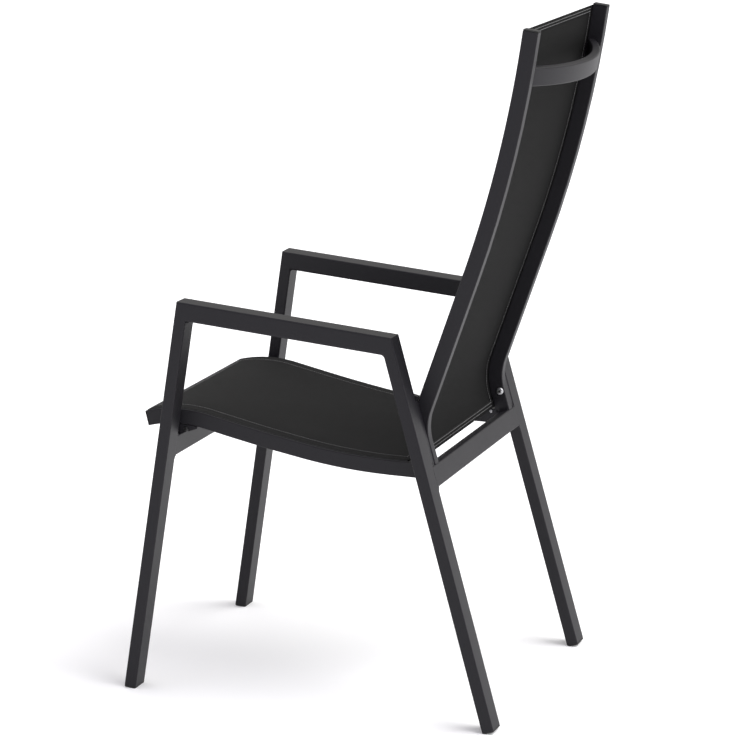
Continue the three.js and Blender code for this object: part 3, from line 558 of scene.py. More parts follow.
def powder_coat(paint, chair):
    """Fine-grained satin powder coat, a little uneven in tone and gloss."""
    finish = chair.finish
    grain = paint.noise(900, 2, 0.6)
    orange_peel = paint.noise(220, 1)
    cloud = paint.noise(7, 3)
    return {
        "Base Color": paint.tones((cloud * 0.7 + grain * 0.3).kept(), finish.coat_colour, 0.84, 1.18),
        "Roughness": finish.coat_roughness - 0.07 + cloud * 0.08 + grain * 0.06,
        "Specular IOR Level": 0.27,
        "Normal": paint.bump(grain * 0.6 + orange_peel * 0.4, 0.22, 0.00025),
    }


def sling_weave(paint, chair):
    """Plain weave of coated yarns, laid by the sling's own flat coordinates in metres, with painted shade
    between the yarns. Painted light makes the faces turned up or forward lighter than those turned down or
    back, and a painted highlight lies on the fold where the cloth goes into its rails."""
    finish = chair.finish
    flat = paint.node("ShaderNodeUVMap", {"uv_map": "cloth"})
    across = paint.parts(flat)
    along = across.out("Y")
    step = math.pi / finish.yarn_pitch
    wave_across = (across * step).sine()
    wave_along = (along * step).sine()
    over = (wave_across * wave_along * 5 + 0.5).kept()
    round_across = abs(wave_across)
    round_along = abs(wave_along)
    warp = round_across ** 0.5 * (round_along * 0.45 + 0.55)
    weft = round_along ** 0.5 * (round_across * 0.45 + 0.55)
    height = over * warp + (1 - over) * weft
    stretched = paint.node("ShaderNodeVectorMath", {"operation": "MULTIPLY"}, {0: flat, 1: (90, 900, 1)})
    slub = paint.noise(1, 2, place=stretched)
    cloud = paint.noise(9, 3, place=flat)
    tone = (slub * 0.6 + cloud * 0.4).kept()
    facing = paint.parts(paint.node("ShaderNodeTexCoord", output="Normal"))
    # Painted light: faces turned up or forward take the lighter yarn colour, faces turned down or back take
    # the painted shade
    painted_light_facing = ((facing.out("Z") - facing.out("Y")) * 4 + 0.5).kept()
    yarn = paint.blend(painted_light_facing, *(
        paint.tones(tone, shade, 0.7, 1.35) for shade in (finish.yarn_back, finish.yarn_face)))
    fold_start = Layout(chair).rail_outer - chair.rail.groove_distance - chair.sling.slot_bend
    fold_edge = 1500
    # Painted highlight along the fold where the cloth goes into its rails
    fold = ((abs(across) - fold_start) * fold_edge).kept()
    # Painted shade where the weave is low, between and at the edges of the yarns
    weave = paint.blend((height * 1.25).kept(), finish.yarn_shade, yarn)
    return {
        "Base Color": paint.blend(fold, weave, finish.fold_colour),
        "Roughness": finish.yarn_roughness - 0.06 + slub * 0.08 + (1 - height) * 0.12,
        "Specular IOR Level": 0.05,
        "Normal": paint.bump(height + cloud * 0.6, 0.5, 0.0003),
    }


def sewing_thread(paint, chair):
    """Twisted polyester thread."""
    fibre = paint.noise(2600, 2)
    shade = paint.noise(60, 2)
    return {
        "Base Color": paint.tones((fibre * 0.6 + shade * 0.4).kept(), chair.finish.thread_colour, 0.7, 1.3),
        "Roughness": 0.62 + fibre * 0.15,
        "Normal": paint.bump(fibre, 0.4, 0.0001),
    }


def black_plastic(paint, chair):
    """Moulded plastic with a fine eroded grain."""
    scuff = paint.noise(120, 4, 0.65)
    return {
        "Base Color": paint.tones(scuff, chair.finish.plastic_colour, 0.75, 1.5),
        "Roughness": chair.finish.plastic_roughness - 0.08 + scuff * 0.16,
        "Specular IOR Level": 0.12,
        "Normal": paint.bump(paint.noise(1500, 2, 0.6), 0.25, 0.00015),
    }


def steel(paint, base, roughness, stain, mark_scale):
    """Turned steel with fine tool marks, rougher where it is stained."""
    return {
        "Base Color": base,
        "Metallic": 1.0,
        "Roughness": roughness + stain * 0.14,
        "Normal": paint.bump(paint.noise(mark_scale, 1), 0.12, 0.00008),
    }


def bright_steel(paint, chair):
    """Plated steel with a little staining."""
    stain = paint.noise(260, 3)
    base = paint.tones(stain, chair.finish.steel_colour, 0.8, 1.12)
    return steel(paint, base, chair.finish.steel_roughness - 0.05, stain, 3200)


def black_steel(paint, chair):
    """Steel under a thin black oxide, rubbed a little brighter here and there."""
    rub = paint.noise(420, 3, 0.6)
    return steel(paint, paint.tones(rub, chair.finish.oxide_colour, 0.7, 1.6), 0.42, rub, 2800)


def pale_floor(paint, chair):
    """Plain matt floor with the faintest change of tone."""
    return {
        "Base Color": paint.tones(paint.noise(0.8, 2), chair.stage.floor_colour, 0.99, 1.0),
        "Roughness": 0.9,
        "Specular IOR Level": 0.1,
        "Emission Color": (1, 1, 1, 1),
        "Emission Strength": chair.stage.floor_glow,
    }


def painted(context, recipe):
    """The material of a recipe, made when it is first asked for."""
    name = recipe.__name__
    material = bpy.data.materials.get(name)
    if not material:
        material = bpy.data.materials.new(name)
        material.use_nodes = True
        paint = Paint(material.node_tree)
        shader = paint.node("ShaderNodeBsdfPrincipled", {}, recipe(paint, context.scene.chair))
        paint.node("ShaderNodeOutputMaterial", {}, {"Surface": shader})
    return material


# Mesh steps
def only(parts, kind):
    return [part for part in parts if isinstance(part, kind)]


def ends_of(edges):
    return list(dict.fromkeys(vert for edge in edges for vert in edge.verts))


def round_corners(bm, verts, radius, segments):
    bmesh.ops.bevel(bm, geom=verts, offset=radius, offset_type="OFFSET", segments=segments, profile=0.5,
                    affect="VERTICES", material=-1)


def rim_of(bm, face):
    """The edges of a flat face, which is taken out."""
    edges = list(face.edges)
    bmesh.ops.delete(bm, geom=[face], context="FACES_ONLY")
    return edges


def rectangle(bm, width, depth, radius, segments):
    """A closed outline with rounded corners."""
    before = set(bm.faces)
    x, y = width / 2, depth / 2
    verts = [bm.verts.new((*corner, 0)) for corner in ((-x, -y), (x, -y), (x, y), (-x, y))]
    bm.faces.new(verts)
    round_corners(bm, verts, radius, segments)
    return rim_of(bm, next(face for face in bm.faces if face not in before))


def circle(bm, segments, radius=1):
    made = bmesh.ops.create_circle(bm, cap_ends=False, segments=segments, radius=radius)["verts"]
    return list(dict.fromkeys(edge for vert in made for edge in vert.link_edges))


def cut(bm, point, normal, **options):
    """Cuts everything along a plane and gives what lies on the cut."""
    return bmesh.ops.bisect_plane(
        bm, geom=[*bm.verts, *bm.edges, *bm.faces], plane_co=point, plane_no=normal, **options)["geom_cut"]


def spun(bm, start, center, axis, turn, steps):
    """Draws an arc from a point and gives its last point."""
    made = bmesh.ops.spin(bm, geom=[start], cent=center, axis=axis, dvec=(0, 0, 0), angle=turn, steps=steps,
                          use_merge=False, use_duplicate=False)
    return only(made["geom_last"], bmesh.types.BMVert)[0]


def sweep(bm, edges, places, close_first=True, close_last=True):
    """Draws a ring of edges through a row of places, closes the ends, and gives the last ring."""
    bmesh.ops.transform(bm, matrix=places[0], verts=ends_of(edges))
    if close_first:
        bmesh.ops.contextual_create(bm, geom=edges)
    for before, after in zip(places, places[1:]):
        made = bmesh.ops.extrude_edge_only(bm, edges=edges)["geom"]
        verts = only(made, bmesh.types.BMVert)
        near = set(verts)
        edges = [edge for edge in only(made, bmesh.types.BMEdge) if near.issuperset(edge.verts)]
        bmesh.ops.transform(bm, matrix=after @ before.inverted(), verts=verts)
    if close_last:
        bmesh.ops.contextual_create(bm, geom=edges)
    return edges


def disc(height, radius):
    """The place of a unit ring of that radius, at that height."""
    return Matrix.Translation((0, 0, height)) @ Matrix.Diagonal((radius, radius, 1, 1))


def fillet(bm, corner, way_a, way_b, radius, across, half_width):
    """A concave weld in the corner between two faces. way_a and way_b run along the faces, and across is the
    direction of the weld's length."""
    before = set(bm.edges)
    way_a, way_b, across = way_a.normalized(), way_b.normalized(), across.normalized()
    opening = way_a.angle(way_b)
    out = (way_a + way_b).normalized()
    side = across * half_width
    first = bm.verts.new(corner + way_a * (radius / math.tan(opening / 2)) - side)
    center = corner + out * (radius / math.sin(opening / 2)) - side
    last = spun(bm, first, center, way_a.cross(way_b).normalized(), opening - math.pi, 6)
    sunk = bm.verts.new(corner - out * WELD_SINK - side)
    bm.edges.new((last, sunk))
    bm.edges.new((sunk, first))
    ring = [edge for edge in bm.edges if edge not in before]
    sweep(bm, ring, [Matrix.Identity(4), Matrix.Translation(side * 2)])


def mesh_of(name, bm):
    mesh = bpy.data.meshes.new(name)
    bm.to_mesh(mesh)
    bm.free()
    return mesh


def add_piece(context, name, bm, finish, nodes, sharp=35, edge=0, flat_faces=True):
    """Makes an object from a bmesh, faces outward, gives it its finish and lets it ride on the frame."""
    bmesh.ops.remove_doubles(bm, verts=bm.verts[:], dist=SAME_POINT)
    bmesh.ops.recalc_face_normals(bm, faces=bm.faces[:])
    mesh = mesh_of(name, bm)
    mesh.shade_smooth()
    mesh.set_sharp_from_angle(angle=math.radians(sharp))
    mesh.materials.append(painted(context, finish))
    piece = bpy.data.objects.new(name, mesh)
    context.scene.collection.objects.link(piece)
    if edge:
        bevel = piece.modifiers.new("edges", "BEVEL")
        bevel.width = edge
        bevel.segments = 2
        bevel.limit_method = "ANGLE"
        bevel.angle_limit = ROUNDED_FROM
    if flat_faces:
        weighted = piece.modifiers.new("flat faces", "WEIGHTED_NORMAL")
        weighted.keep_sharp = True
    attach(piece, BODY)
    if nodes:
        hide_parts(*nodes)
    return piece


def add_pair(context, name, bm, finish, nodes, **options):
    """Adds a left piece and its mirrored right twin."""
    twin = bm.copy()
    bmesh.ops.scale(twin, vec=(-1, 1, 1), verts=twin.verts[:])
    for hand, half in (("left", bm), ("right", twin)):
        add_piece(context, f"{hand}_{name}", half, finish, [f"{hand}_{node}" for node in nodes], **options)


def both(*names):
    """The left and right names of nodes."""
    return [f"{hand}_{name}" for name in names for hand in ("left", "right")]


def dressed(node):
    """A copy of a CAD node's mesh, merged and freed of the edges inside its flat faces."""
    bm = bmesh.new()
    bm.from_mesh(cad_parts[node].data)
    bmesh.ops.remove_doubles(bm, verts=bm.verts[:], dist=SAME_POINT)
    bmesh.ops.dissolve_limit(
        bm, angle_limit=math.radians(1), use_dissolve_boundaries=False, verts=bm.verts[:], edges=bm.edges[:])
    return bm


class CHAIR_OT_side_frames(bpy.types.Operator):
    """Adds both side frames, each a front leg, an armrest and a rear leg welded at ground mitres"""

    bl_idname = "chair.side_frames"
    bl_label = "Side frames"
    bl_options = {"REGISTER", "UNDO"}

    def execute(self, context):
        chair = context.scene.chair
        layout = Layout(chair)
        side = chair.side
        middle = ACROSS * (-side.tube_width / 2)

        def place(outer, inner):
            depth = (inner - outer) / side.leg_depth
            return matrix_from(ACROSS, depth, ACROSS.cross(depth).normalized(), (inner + outer) / 2 + middle)

        rear_in, rear_out = layout.foot(
            layout.rear_inner, -layout.rear_to_front, layout.rear_up, side.rear_glide_wear)
        front_in, front_out = layout.foot(
            layout.front_inner, -layout.front_to_rear, layout.front_up, side.front_glide_wear)
        rear_rise = layout.rear_up * (side.glide_thickness + FIT_GAP)
        front_rise = layout.front_up * (side.glide_thickness + FIT_GAP)
        bm = bmesh.new()
        ring = rectangle(bm, side.tube_width, side.leg_depth, side.corner_radius, side.corner_segments)
        sweep(bm, ring, [
            place(rear_out + rear_rise, rear_in + rear_rise),
            place(layout.rear_outer_corner, layout.rear_inner_corner),
            place(layout.front_outer_corner, layout.front_inner_corner),
            place(front_out + front_rise, front_in + front_rise),
        ])
        half = side.tube_width / 2 - side.corner_radius * 0.8
        fillet(bm, layout.rear_inner_corner + middle, -layout.rear_up, -layout.arm_back,
               side.rear_weld_radius, ACROSS, half)
        fillet(bm, layout.front_inner_corner + middle, -layout.front_up, layout.arm_back,
               side.front_weld_radius, ACROSS, half)
        bmesh.ops.transform(bm, matrix=layout.side_place, verts=bm.verts[:])
        add_pair(context, "side_frame", bm, powder_coat, ["front_leg", "armrest", "rear_leg"],
                 edge=side.mitre_radius)
        return {"FINISHED"}


class CHAIR_OT_glides(bpy.types.Operator):
    """Adds the plastic glides under the legs"""

    bl_idname = "chair.glides"
    bl_label = "Glides"
    bl_options = {"REGISTER", "UNDO"}

    def execute(self, context):
        for node in both("front_glide", "rear_glide"):
            add_piece(context, f"{node}_foot", dressed(node), black_plastic, [node],
                      edge=context.scene.chair.side.glide_edge)
        return {"FINISHED"}


class CHAIR_OT_crossbars(bpy.types.Operator):
    """Adds the front and rear crossbars with the welds at their ends"""

    bl_idname = "chair.crossbars"
    bl_label = "Crossbars"
    bl_options = {"REGISTER", "UNDO"}

    def execute(self, context):
        chair = context.scene.chair
        layout = Layout(chair)
        bars, side = chair.bars, chair.side
        half = bars.depth / 2 - BAR_WELD_INSET
        for name, middle, up in (
                ("front", layout.front_bar_middle, layout.front_up),
                ("rear", layout.rear_bar_middle, layout.rear_up)):
            bm = bmesh.new()
            ring = rectangle(
                bm, bars.depth - bars.sink * 2, bars.height, bars.corner_radius, side.corner_segments)
            depth = up.cross(ACROSS)
            top = middle + up * (bars.height / 2)
            reach = ACROSS * (layout.inner_face(top.z) + side.corner_radius + BAR_END_SINK)
            sweep(bm, ring, [matrix_from(-depth, up, ACROSS, middle + end) for end in (-reach, reach)])
            for sense in (-1, 1):
                for lift in (-1, 1):
                    spot = middle + up * (bars.height / 2 * lift)
                    spot.x = sense * layout.inner_face(spot.z)
                    face = up - ACROSS * (sense * math.tan(side.splay))
                    fillet(bm, spot, ACROSS * -sense, face * lift, bars.weld_radius, depth, half)
            add_piece(context, f"{name}_crossbar_tube", bm, powder_coat, [f"{name}_crossbar"])
        return {"FINISHED"}


def rail_ring(bm, rail):
    """The rails' outline: a rounded rectangle whose slotted groove takes the welt. The groove lies on the
    outline's -x side, under its +y face."""
    x, y = rail.width / 2, rail.depth / 2
    groove_x = rail.groove_distance - x
    groove_y = y - rail.lip_thickness - rail.groove_radius
    half = rail.slot_width / 2
    mouth = math.asin(half / rail.groove_radius)
    mouth_chamfer = 0.0003
    start = bm.verts.new((groove_x + half, groove_y + rail.groove_radius * math.cos(mouth), 0))
    end = spun(bm, start, (groove_x, groove_y, 0), (0, 0, 1), mouth * 2 - math.pi * 2, 12)
    drawn = [bm.verts.new((*corner, 0)) for corner in (
        (groove_x + half, y), (x, y), (x, -y), (-x, -y), (-x, y), (groove_x - half, y))]
    chain = [start, *drawn, end]
    for pair in zip(chain, chain[1:]):
        bm.edges.new(pair)
    bmesh.ops.contextual_create(bm, geom=bm.edges[:])
    round_corners(bm, [drawn[0], drawn[5]], mouth_chamfer, 1)
    round_corners(bm, drawn[1:5], rail.corner_radius, 4)
    return rim_of(bm, max(bm.faces, key=lambda face: len(face.verts)))


class CHAIR_OT_back_rails(bpy.types.Operator):
    """Adds the bent back rails with the welds at their feet"""

    bl_idname = "chair.back_rails"
    bl_label = "Back rails"
    bl_options = {"REGISTER", "UNDO"}

    def execute(self, context):
        chair = context.scene.chair
        layout = Layout(chair)
        line = layout.back_line
        bm = bmesh.new()
        sweep(bm, rail_ring(bm, chair.rail), [
            line.place(stop, layout.rail_x) for stop in line.stops(-FOOT_SINK, layout.back_metal)])
        foot = layout.rear_bar_top + layout.rear_to_front * (chair.bars.depth / 2)
        half = chair.bars.depth / 2 - chair.bars.corner_radius
        for x, sense in ((layout.rail_inner, -1), (layout.rail_outer, 1)):
            fillet(bm, foot + ACROSS * x, ACROSS * sense, layout.rear_up, chair.rail.weld_radius,
                   layout.rear_to_front, half)
        add_pair(context, "back_sling_rail", bm, powder_coat, ["back_rail"])
        return {"FINISHED"}


class CHAIR_OT_seat_rails(bpy.types.Operator):
    """Adds the seat rails, cut to the rear crossbar's front face"""

    bl_idname = "chair.seat_rails"
    bl_label = "Seat rails"
    bl_options = {"REGISTER", "UNDO"}

    def execute(self, context):
        chair = context.scene.chair
        layout = Layout(chair)
        line = layout.seat_line
        spare_length = 0.02
        stops = line.stops(layout.seat_metal, layout.seat_rear_end + spare_length)
        bm = bmesh.new()
        sweep(bm, rail_ring(bm, chair.rail), [line.place(stop, layout.rail_x) for stop in stops])
        rim = cut(bm, layout.rear_bar_front, -layout.rear_to_front, clear_outer=True, clear_inner=False)
        bmesh.ops.contextual_create(bm, geom=only(rim, bmesh.types.BMEdge))
        add_pair(context, "seat_sling_rail", bm, powder_coat, ["seat_rail"])
        return {"FINISHED"}


class CHAIR_OT_rail_caps(bpy.types.Operator):
    """Adds the plastic caps on the ends of the rails"""

    bl_idname = "chair.rail_caps"
    bl_label = "Rail caps"
    bl_options = {"REGISTER", "UNDO"}

    def execute(self, context):
        chair = context.scene.chair
        layout = Layout(chair)
        rail = chair.rail
        neck_width, neck_depth, neck_corner = rail.width - 0.004, rail.depth - 0.005, 0.001
        neck_overlap, neck_length = 0.001, 0.004
        for name, line, start, inward in (
                ("back", layout.back_line, layout.back_metal + rail.cap_gap, -1),
                ("seat", layout.seat_line, 0, 1)):
            bm = bmesh.new()
            plate = rectangle(bm, rail.width, rail.depth, rail.corner_radius, 4)
            ends = (start, start + rail.cap_thickness)
            sweep(bm, plate, [line.place(end, layout.rail_x) for end in ends])
            neck = rectangle(bm, neck_width, neck_depth, neck_corner, 2)
            inside = ends[1] if inward > 0 else start
            sweep(bm, neck, [
                line.place(inside + inward * reach, layout.rail_x) for reach in (-neck_overlap, neck_length)])
            add_pair(context, f"{name}_rail_end_cap", bm, black_plastic, [f"{name}_rail_cap"],
                     edge=rail.cap_edge)
        return {"FINISHED"}


class CHAIR_OT_handle(bpy.types.Operator):
    """Adds the bowed handle near the top of the back, with the welds at its ends"""

    bl_idname = "chair.handle"
    bl_label = "Handle"
    bl_options = {"REGISTER", "UNDO"}

    def execute(self, context):
        chair = context.scene.chair
        layout = Layout(chair)
        back = chair.back
        point, turn = layout.back_line.pose(layout.back_line.length - back.handle_drop)
        up = heading(turn)
        to_front = left_of(up)
        center = point + to_front * back.handle_forward
        span = layout.rail_inner
        radius = (span ** 2 + back.handle_bow ** 2) / (back.handle_bow * 2)
        spare_length = 0.004
        reach = math.asin((span + spare_length) / radius)
        steps = 40
        places = []
        for i in range(steps + 1):
            swing = (i / steps * 2 - 1) * reach
            way = ACROSS * math.cos(swing) + to_front * math.sin(swing)
            out = ACROSS * math.sin(swing) - to_front * math.cos(swing)
            middle = center + out * radius + to_front * (radius - back.handle_bow)
            places.append(matrix_from(out, up, way, middle))
        bm = bmesh.new()
        sweep(bm, rectangle(bm, back.handle_depth, back.handle_height, back.handle_corner, 4), places)
        lean = math.asin(span / radius)
        half_height, half_depth = back.handle_height / 2, back.handle_depth / 2
        for sense in (-1, 1):
            cut(bm, ACROSS * (sense * (span + FIT_GAP)), ACROSS * sense, clear_outer=True)
            bmesh.ops.contextual_create(bm, geom=[edge for edge in bm.edges if edge.is_boundary])
        for sense in (-1, 1):
            end = center + ACROSS * (sense * span)
            along = ACROSS * (-sense * math.cos(lean)) - to_front * math.sin(lean)
            for face in (-1, 1):
                fillet(bm, end + up * (half_height * face), along, up * face, back.handle_weld, to_front,
                       half_depth - back.handle_corner * 0.6)
                fillet(bm, end + to_front * (half_depth / math.cos(lean) * face), along, to_front * face,
                       back.handle_weld, up, half_height - back.handle_corner)
        add_piece(context, "back_handle_bow", bm, powder_coat, ["back_handle"])
        return {"FINISHED"}


class SlingShape:
    """Where each point of a flat-cut sling comes to lie on its rails. The sags are pairs of a distance from
    the sling's first edge and its height there, halfway between the rails."""

    def __init__(self, chair, layout, line, low, high, sags):
        self.sling = chair.sling
        self.line = line
        self.low = low
        self.high = high
        self.length = high - low
        self.sags = sags
        self.inner_x = layout.rail_inner
        self.face_x = layout.rail_outer - chair.rail.groove_distance - self.sling.slot_bend
        self.top_level = self.sling.hem_level + self.sling.layer_rise
        self.fold = math.pi * self.sling.layer_rise / 2

    def half_cut(self):
        """Half the width of the cut, out to the end of the lip."""
        bend = self.sling.slot_bend
        return self.face_x + bend * math.pi / 2 + self.top_level - bend - self.sling.lip_level

    def sag(self, x, distance):
        """A smooth value between the pairs of the sags, fading out to the rails."""
        inside = max(0, 1 - (x / self.inner_x) ** 2)
        for (low, first), (high, second) in zip(self.sags, self.sags[1:]):
            if distance <= high:
                part = min(1, max(0, (distance - low) / (high - low)))
                return (first + (second - first) * part * part * (3 - 2 * part)) * inside ** 1.5
        return self.sags[-1][1] * inside ** 1.5

    def spot(self, x, distance, level):
        """A point on the sling's surface, and its directions along and off the surface."""
        point, turn = self.line.pose(distance)
        way = heading(turn)
        off = left_of(way)
        return point + off * (level + self.sag(x, distance - self.low)) + ACROSS * x, way, off

    def lay_hem(self, flat):
        """The place of a point of the side hems, which lie on the rails under the cloth."""
        return self.spot(flat.x, self.low + flat.y, self.sling.hem_level)[0]

    def hang(self, flat):
        """The hung place of a point of the flat cut, whose y runs along the sling from its first edge."""
        bend = self.sling.slot_bend
        rise = self.sling.layer_rise
        x, level = flat.x, self.top_level
        past = abs(x) - self.face_x
        if past > 0:
            turn = min(past / bend, math.pi / 2)
            x = math.copysign(self.face_x + bend * math.sin(turn), x)
            level -= bend * (1 - math.cos(turn)) + max(0, past - bend * math.pi / 2)
        run = flat.y
        beyond = max(-run, run - self.length)
        if beyond > 0:
            turn = min(beyond / self.fold, 1) * math.pi
            reach = rise / 2 * math.sin(turn) - max(0, beyond - self.fold)
            level -= rise / 2 * (1 - math.cos(turn))
            run = -reach if run < 0 else self.length + reach
        run = min(max(run, 0), self.length)
        distance = self.low + rise / 2 + run * (1 - rise / self.length)
        return self.spot(x, distance, level)[0]


def add_grid(bm, low_x, high_x, size_y, middle_y, columns, rows):
    """A flat grid between two values of x."""
    made = bmesh.ops.create_grid(bm, x_segments=columns, y_segments=rows, size=0.5)["verts"]
    bmesh.ops.scale(bm, vec=(high_x - low_x, size_y, 1), verts=made)
    bmesh.ops.translate(bm, vec=((low_x + high_x) / 2, middle_y, 0), verts=made)


def hung(bm, place):
    """Writes the flat coordinates into the map and then moves each point to its hung place."""
    layer = bm.loops.layers.uv.new("cloth")
    for face in bm.faces:
        for loop in face.loops:
            loop[layer].uv = loop.vert.co.xy
    for vert in bm.verts:
        vert.co = place(vert.co)
    return bm


def cloth_sheet(shape, sling):
    """The sling's cloth: a flat cut with turned-under ends, hung on the rails."""
    half = shape.half_cut()
    size = shape.length + (shape.fold + sling.end_hem) * 2
    bm = bmesh.new()
    rows = math.ceil(shape.length / sling.square_length)
    add_grid(bm, -half, half, size, shape.length / 2, sling.squares_across, rows)
    bend = sling.slot_bend * math.pi / 2
    for sense in (-1, 1):
        for i in range(4):
            cut(bm, ACROSS * (sense * (shape.face_x + bend * i / 3)), ACROSS, dist=SAME_POINT)
    for i in range(5):
        past = shape.fold * i / 4
        for y in (-past, shape.length + past):
            cut(bm, (0, y, 0), (0, 1, 0), dist=SAME_POINT)
    middles = {face: face.calc_center_median() for face in bm.faces}
    spare = [face for face, middle in middles.items()
             if abs(middle.x) > shape.face_x and not 0 < middle.y < shape.length]
    bmesh.ops.delete(bm, geom=spare, context="FACES")
    return hung(bm, shape.hang)


def side_hems(shape, sling, rail_outer):
    """The turned-back edges of the cloth that lie under it along both rails."""
    gap_beside_fold, gap_beside_end_hem = 0.0004, 0.0006
    inner = rail_outer - sling.side_hem
    outer = shape.face_x - gap_beside_fold
    size = shape.length - (sling.end_hem + gap_beside_end_hem) * 2
    rows = math.ceil(shape.length / sling.square_length)
    bm = bmesh.new()
    for low, high in ((-outer, -inner), (inner, outer)):
        add_grid(bm, low, high, size, shape.length / 2, 4, rows)
    return hung(bm, shape.lay_hem)


def add_cloth(context, name, bm, nodes):
    piece = add_piece(context, name, bm, sling_weave, nodes, sharp=60, flat_faces=False)
    solid = piece.modifiers.new("cloth thickness", "SOLIDIFY")
    solid.thickness = context.scene.chair.sling.cloth_thickness
    solid.offset = 0
    return piece


def one_stitch():
    """A stitch of radius one, its length along x."""
    bm = bmesh.new()
    bmesh.ops.create_uvsphere(
        bm, u_segments=6, v_segments=4, radius=1, matrix=Matrix.Rotation(math.pi / 2, 4, "Y"))
    return mesh_of("stitch", bm)


def spread(size, pitch):
    """Evenly spaced distances from the middle of a size."""
    number = int(size / pitch)
    return [(i - number / 2) * pitch for i in range(number + 1)]


def stitch_rows(shape, sling, rail_outer):
    """The rows of sewing on both faces of a sling."""
    seam_x = rail_outer - sling.side_row
    middle = shape.low + shape.length / 2
    spots = [(sense * seam_x, middle + run, False)
             for run in spread(shape.length - sling.second_row * 2, sling.stitch_pitch) for sense in (-1, 1)]
    for x in spread(seam_x * 2, sling.stitch_pitch):
        for row in (sling.first_row, sling.second_row):
            spots.extend(((x, shape.low + row, True), (x, shape.high - row, True)))
    half_length, half_width, rise = sling.stitch_length / 2, sling.stitch_width / 2, sling.stitch_width * 0.32
    levels = (shape.top_level + sling.cloth_thickness / 2, sling.hem_level - sling.cloth_thickness / 2)
    stitch = one_stitch()
    bm = bmesh.new()
    for x, run, turned in spots:
        for level in levels:
            point, way, off = shape.spot(x, run, level)
            long_axis, wide_axis = (ACROSS, way) if turned else (way, ACROSS)
            laid = stitch.copy()
            laid.transform(matrix_from(long_axis * half_length, wide_axis * half_width, off * rise, point))
            bm.from_mesh(laid)
            bpy.data.meshes.remove(laid)
    bpy.data.meshes.remove(stitch)
    return bm


class CHAIR_OT_slings(bpy.types.Operator):
    """Adds the back and seat slings with their hems and stitching"""

    bl_idname = "chair.slings"
    bl_label = "Slings"
    bl_options = {"REGISTER", "UNDO"}

    def execute(self, context):
        chair = context.scene.chair
        layout = Layout(chair)
        sling = chair.sling
        back_end = layout.back_metal - sling.end_gap
        back = SlingShape(chair, layout, layout.back_line, sling.back_from, back_end, [
            (0, -0.0002), (0.06, -sling.back_sag), (0.16, -sling.back_sag * 0.3),
            (0.40, sling.back_sag * 0.5), (0.60, sling.back_sag * 0.6), (back_end - sling.back_from, 0)])
        seat_end = layout.seat_rear_end - sling.seat_rear_gap
        seat = SlingShape(chair, layout, layout.seat_line, layout.seat_metal + sling.end_gap, seat_end, [
            (0, -0.0002), (0.06, -sling.seat_sag), (0.16, -sling.seat_sag * 0.5),
            (0.32, sling.seat_sag * 0.4), (0.44, 0)])
        for name, shape in (("back", back), ("seat", seat)):
            cloth = add_cloth(context, f"{name}_sling_cloth", cloth_sheet(shape, sling), [f"{name}_sling"])
            hems = add_cloth(
                context, f"{name}_sling_side_hems", side_hems(shape, sling, layout.rail_outer), [])
            stitches = add_piece(
                context, f"{name}_sling_stitches", stitch_rows(shape, sling, layout.rail_outer),
                sewing_thread, [], sharp=80, flat_faces=False)
            around = 0.040
            shape.half_cut() * 2 + around * 2
        return {"FINISHED"}


def socket_head(head_radius, head_height, socket_radius, socket_depth, shank, size):
    """A domed bolt or screw with a hexagon socket: its seat at z 0, its head above and its shank below."""
    tip = shank * 0.25
    profile = [
        (-size, shank * 0.8), (-size + tip, shank), (0, shank), (0, head_radius * 0.97),
        *((head_height * rise, head_radius * reach) for rise, reach in (
            (0.12, 1), (0.35, 1), (0.58, 0.95), (0.78, 0.86), (0.92, 0.74), (1, 0.58)))]
    bm = bmesh.new()
    rim = sweep(bm, circle(bm, 24), [disc(*ring) for ring in profile], close_last=False)
    divided = bmesh.ops.subdivide_edges(bm, edges=circle(bm, 6, socket_radius), cuts=3, use_grid_fill=False)
    hexagon = only(divided["geom"], bmesh.types.BMEdge)
    bmesh.ops.translate(bm, vec=(0, 0, head_height), verts=ends_of(hexagon))
    bmesh.ops.bridge_loops(bm, edges=[*rim, *hexagon])
    sweep(bm, hexagon, [Matrix.Identity(4), Matrix.Translation((0, 0, -socket_depth))], close_first=False)
    return bm


def across_chair(point, x, sense):
    """A place whose z points along x, towards +x or -x."""
    return matrix_from(Vector((0, 1, 0)), Vector((0, 0, sense)), ACROSS * sense, point + ACROSS * x)


def measured(node):
    """A node's lowest and highest x, and the middle of its box in the side plane."""
    low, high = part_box(node)
    return low.x, high.x, Vector((0, (low.y + high.y) / 2, (low.z + high.z) / 2))


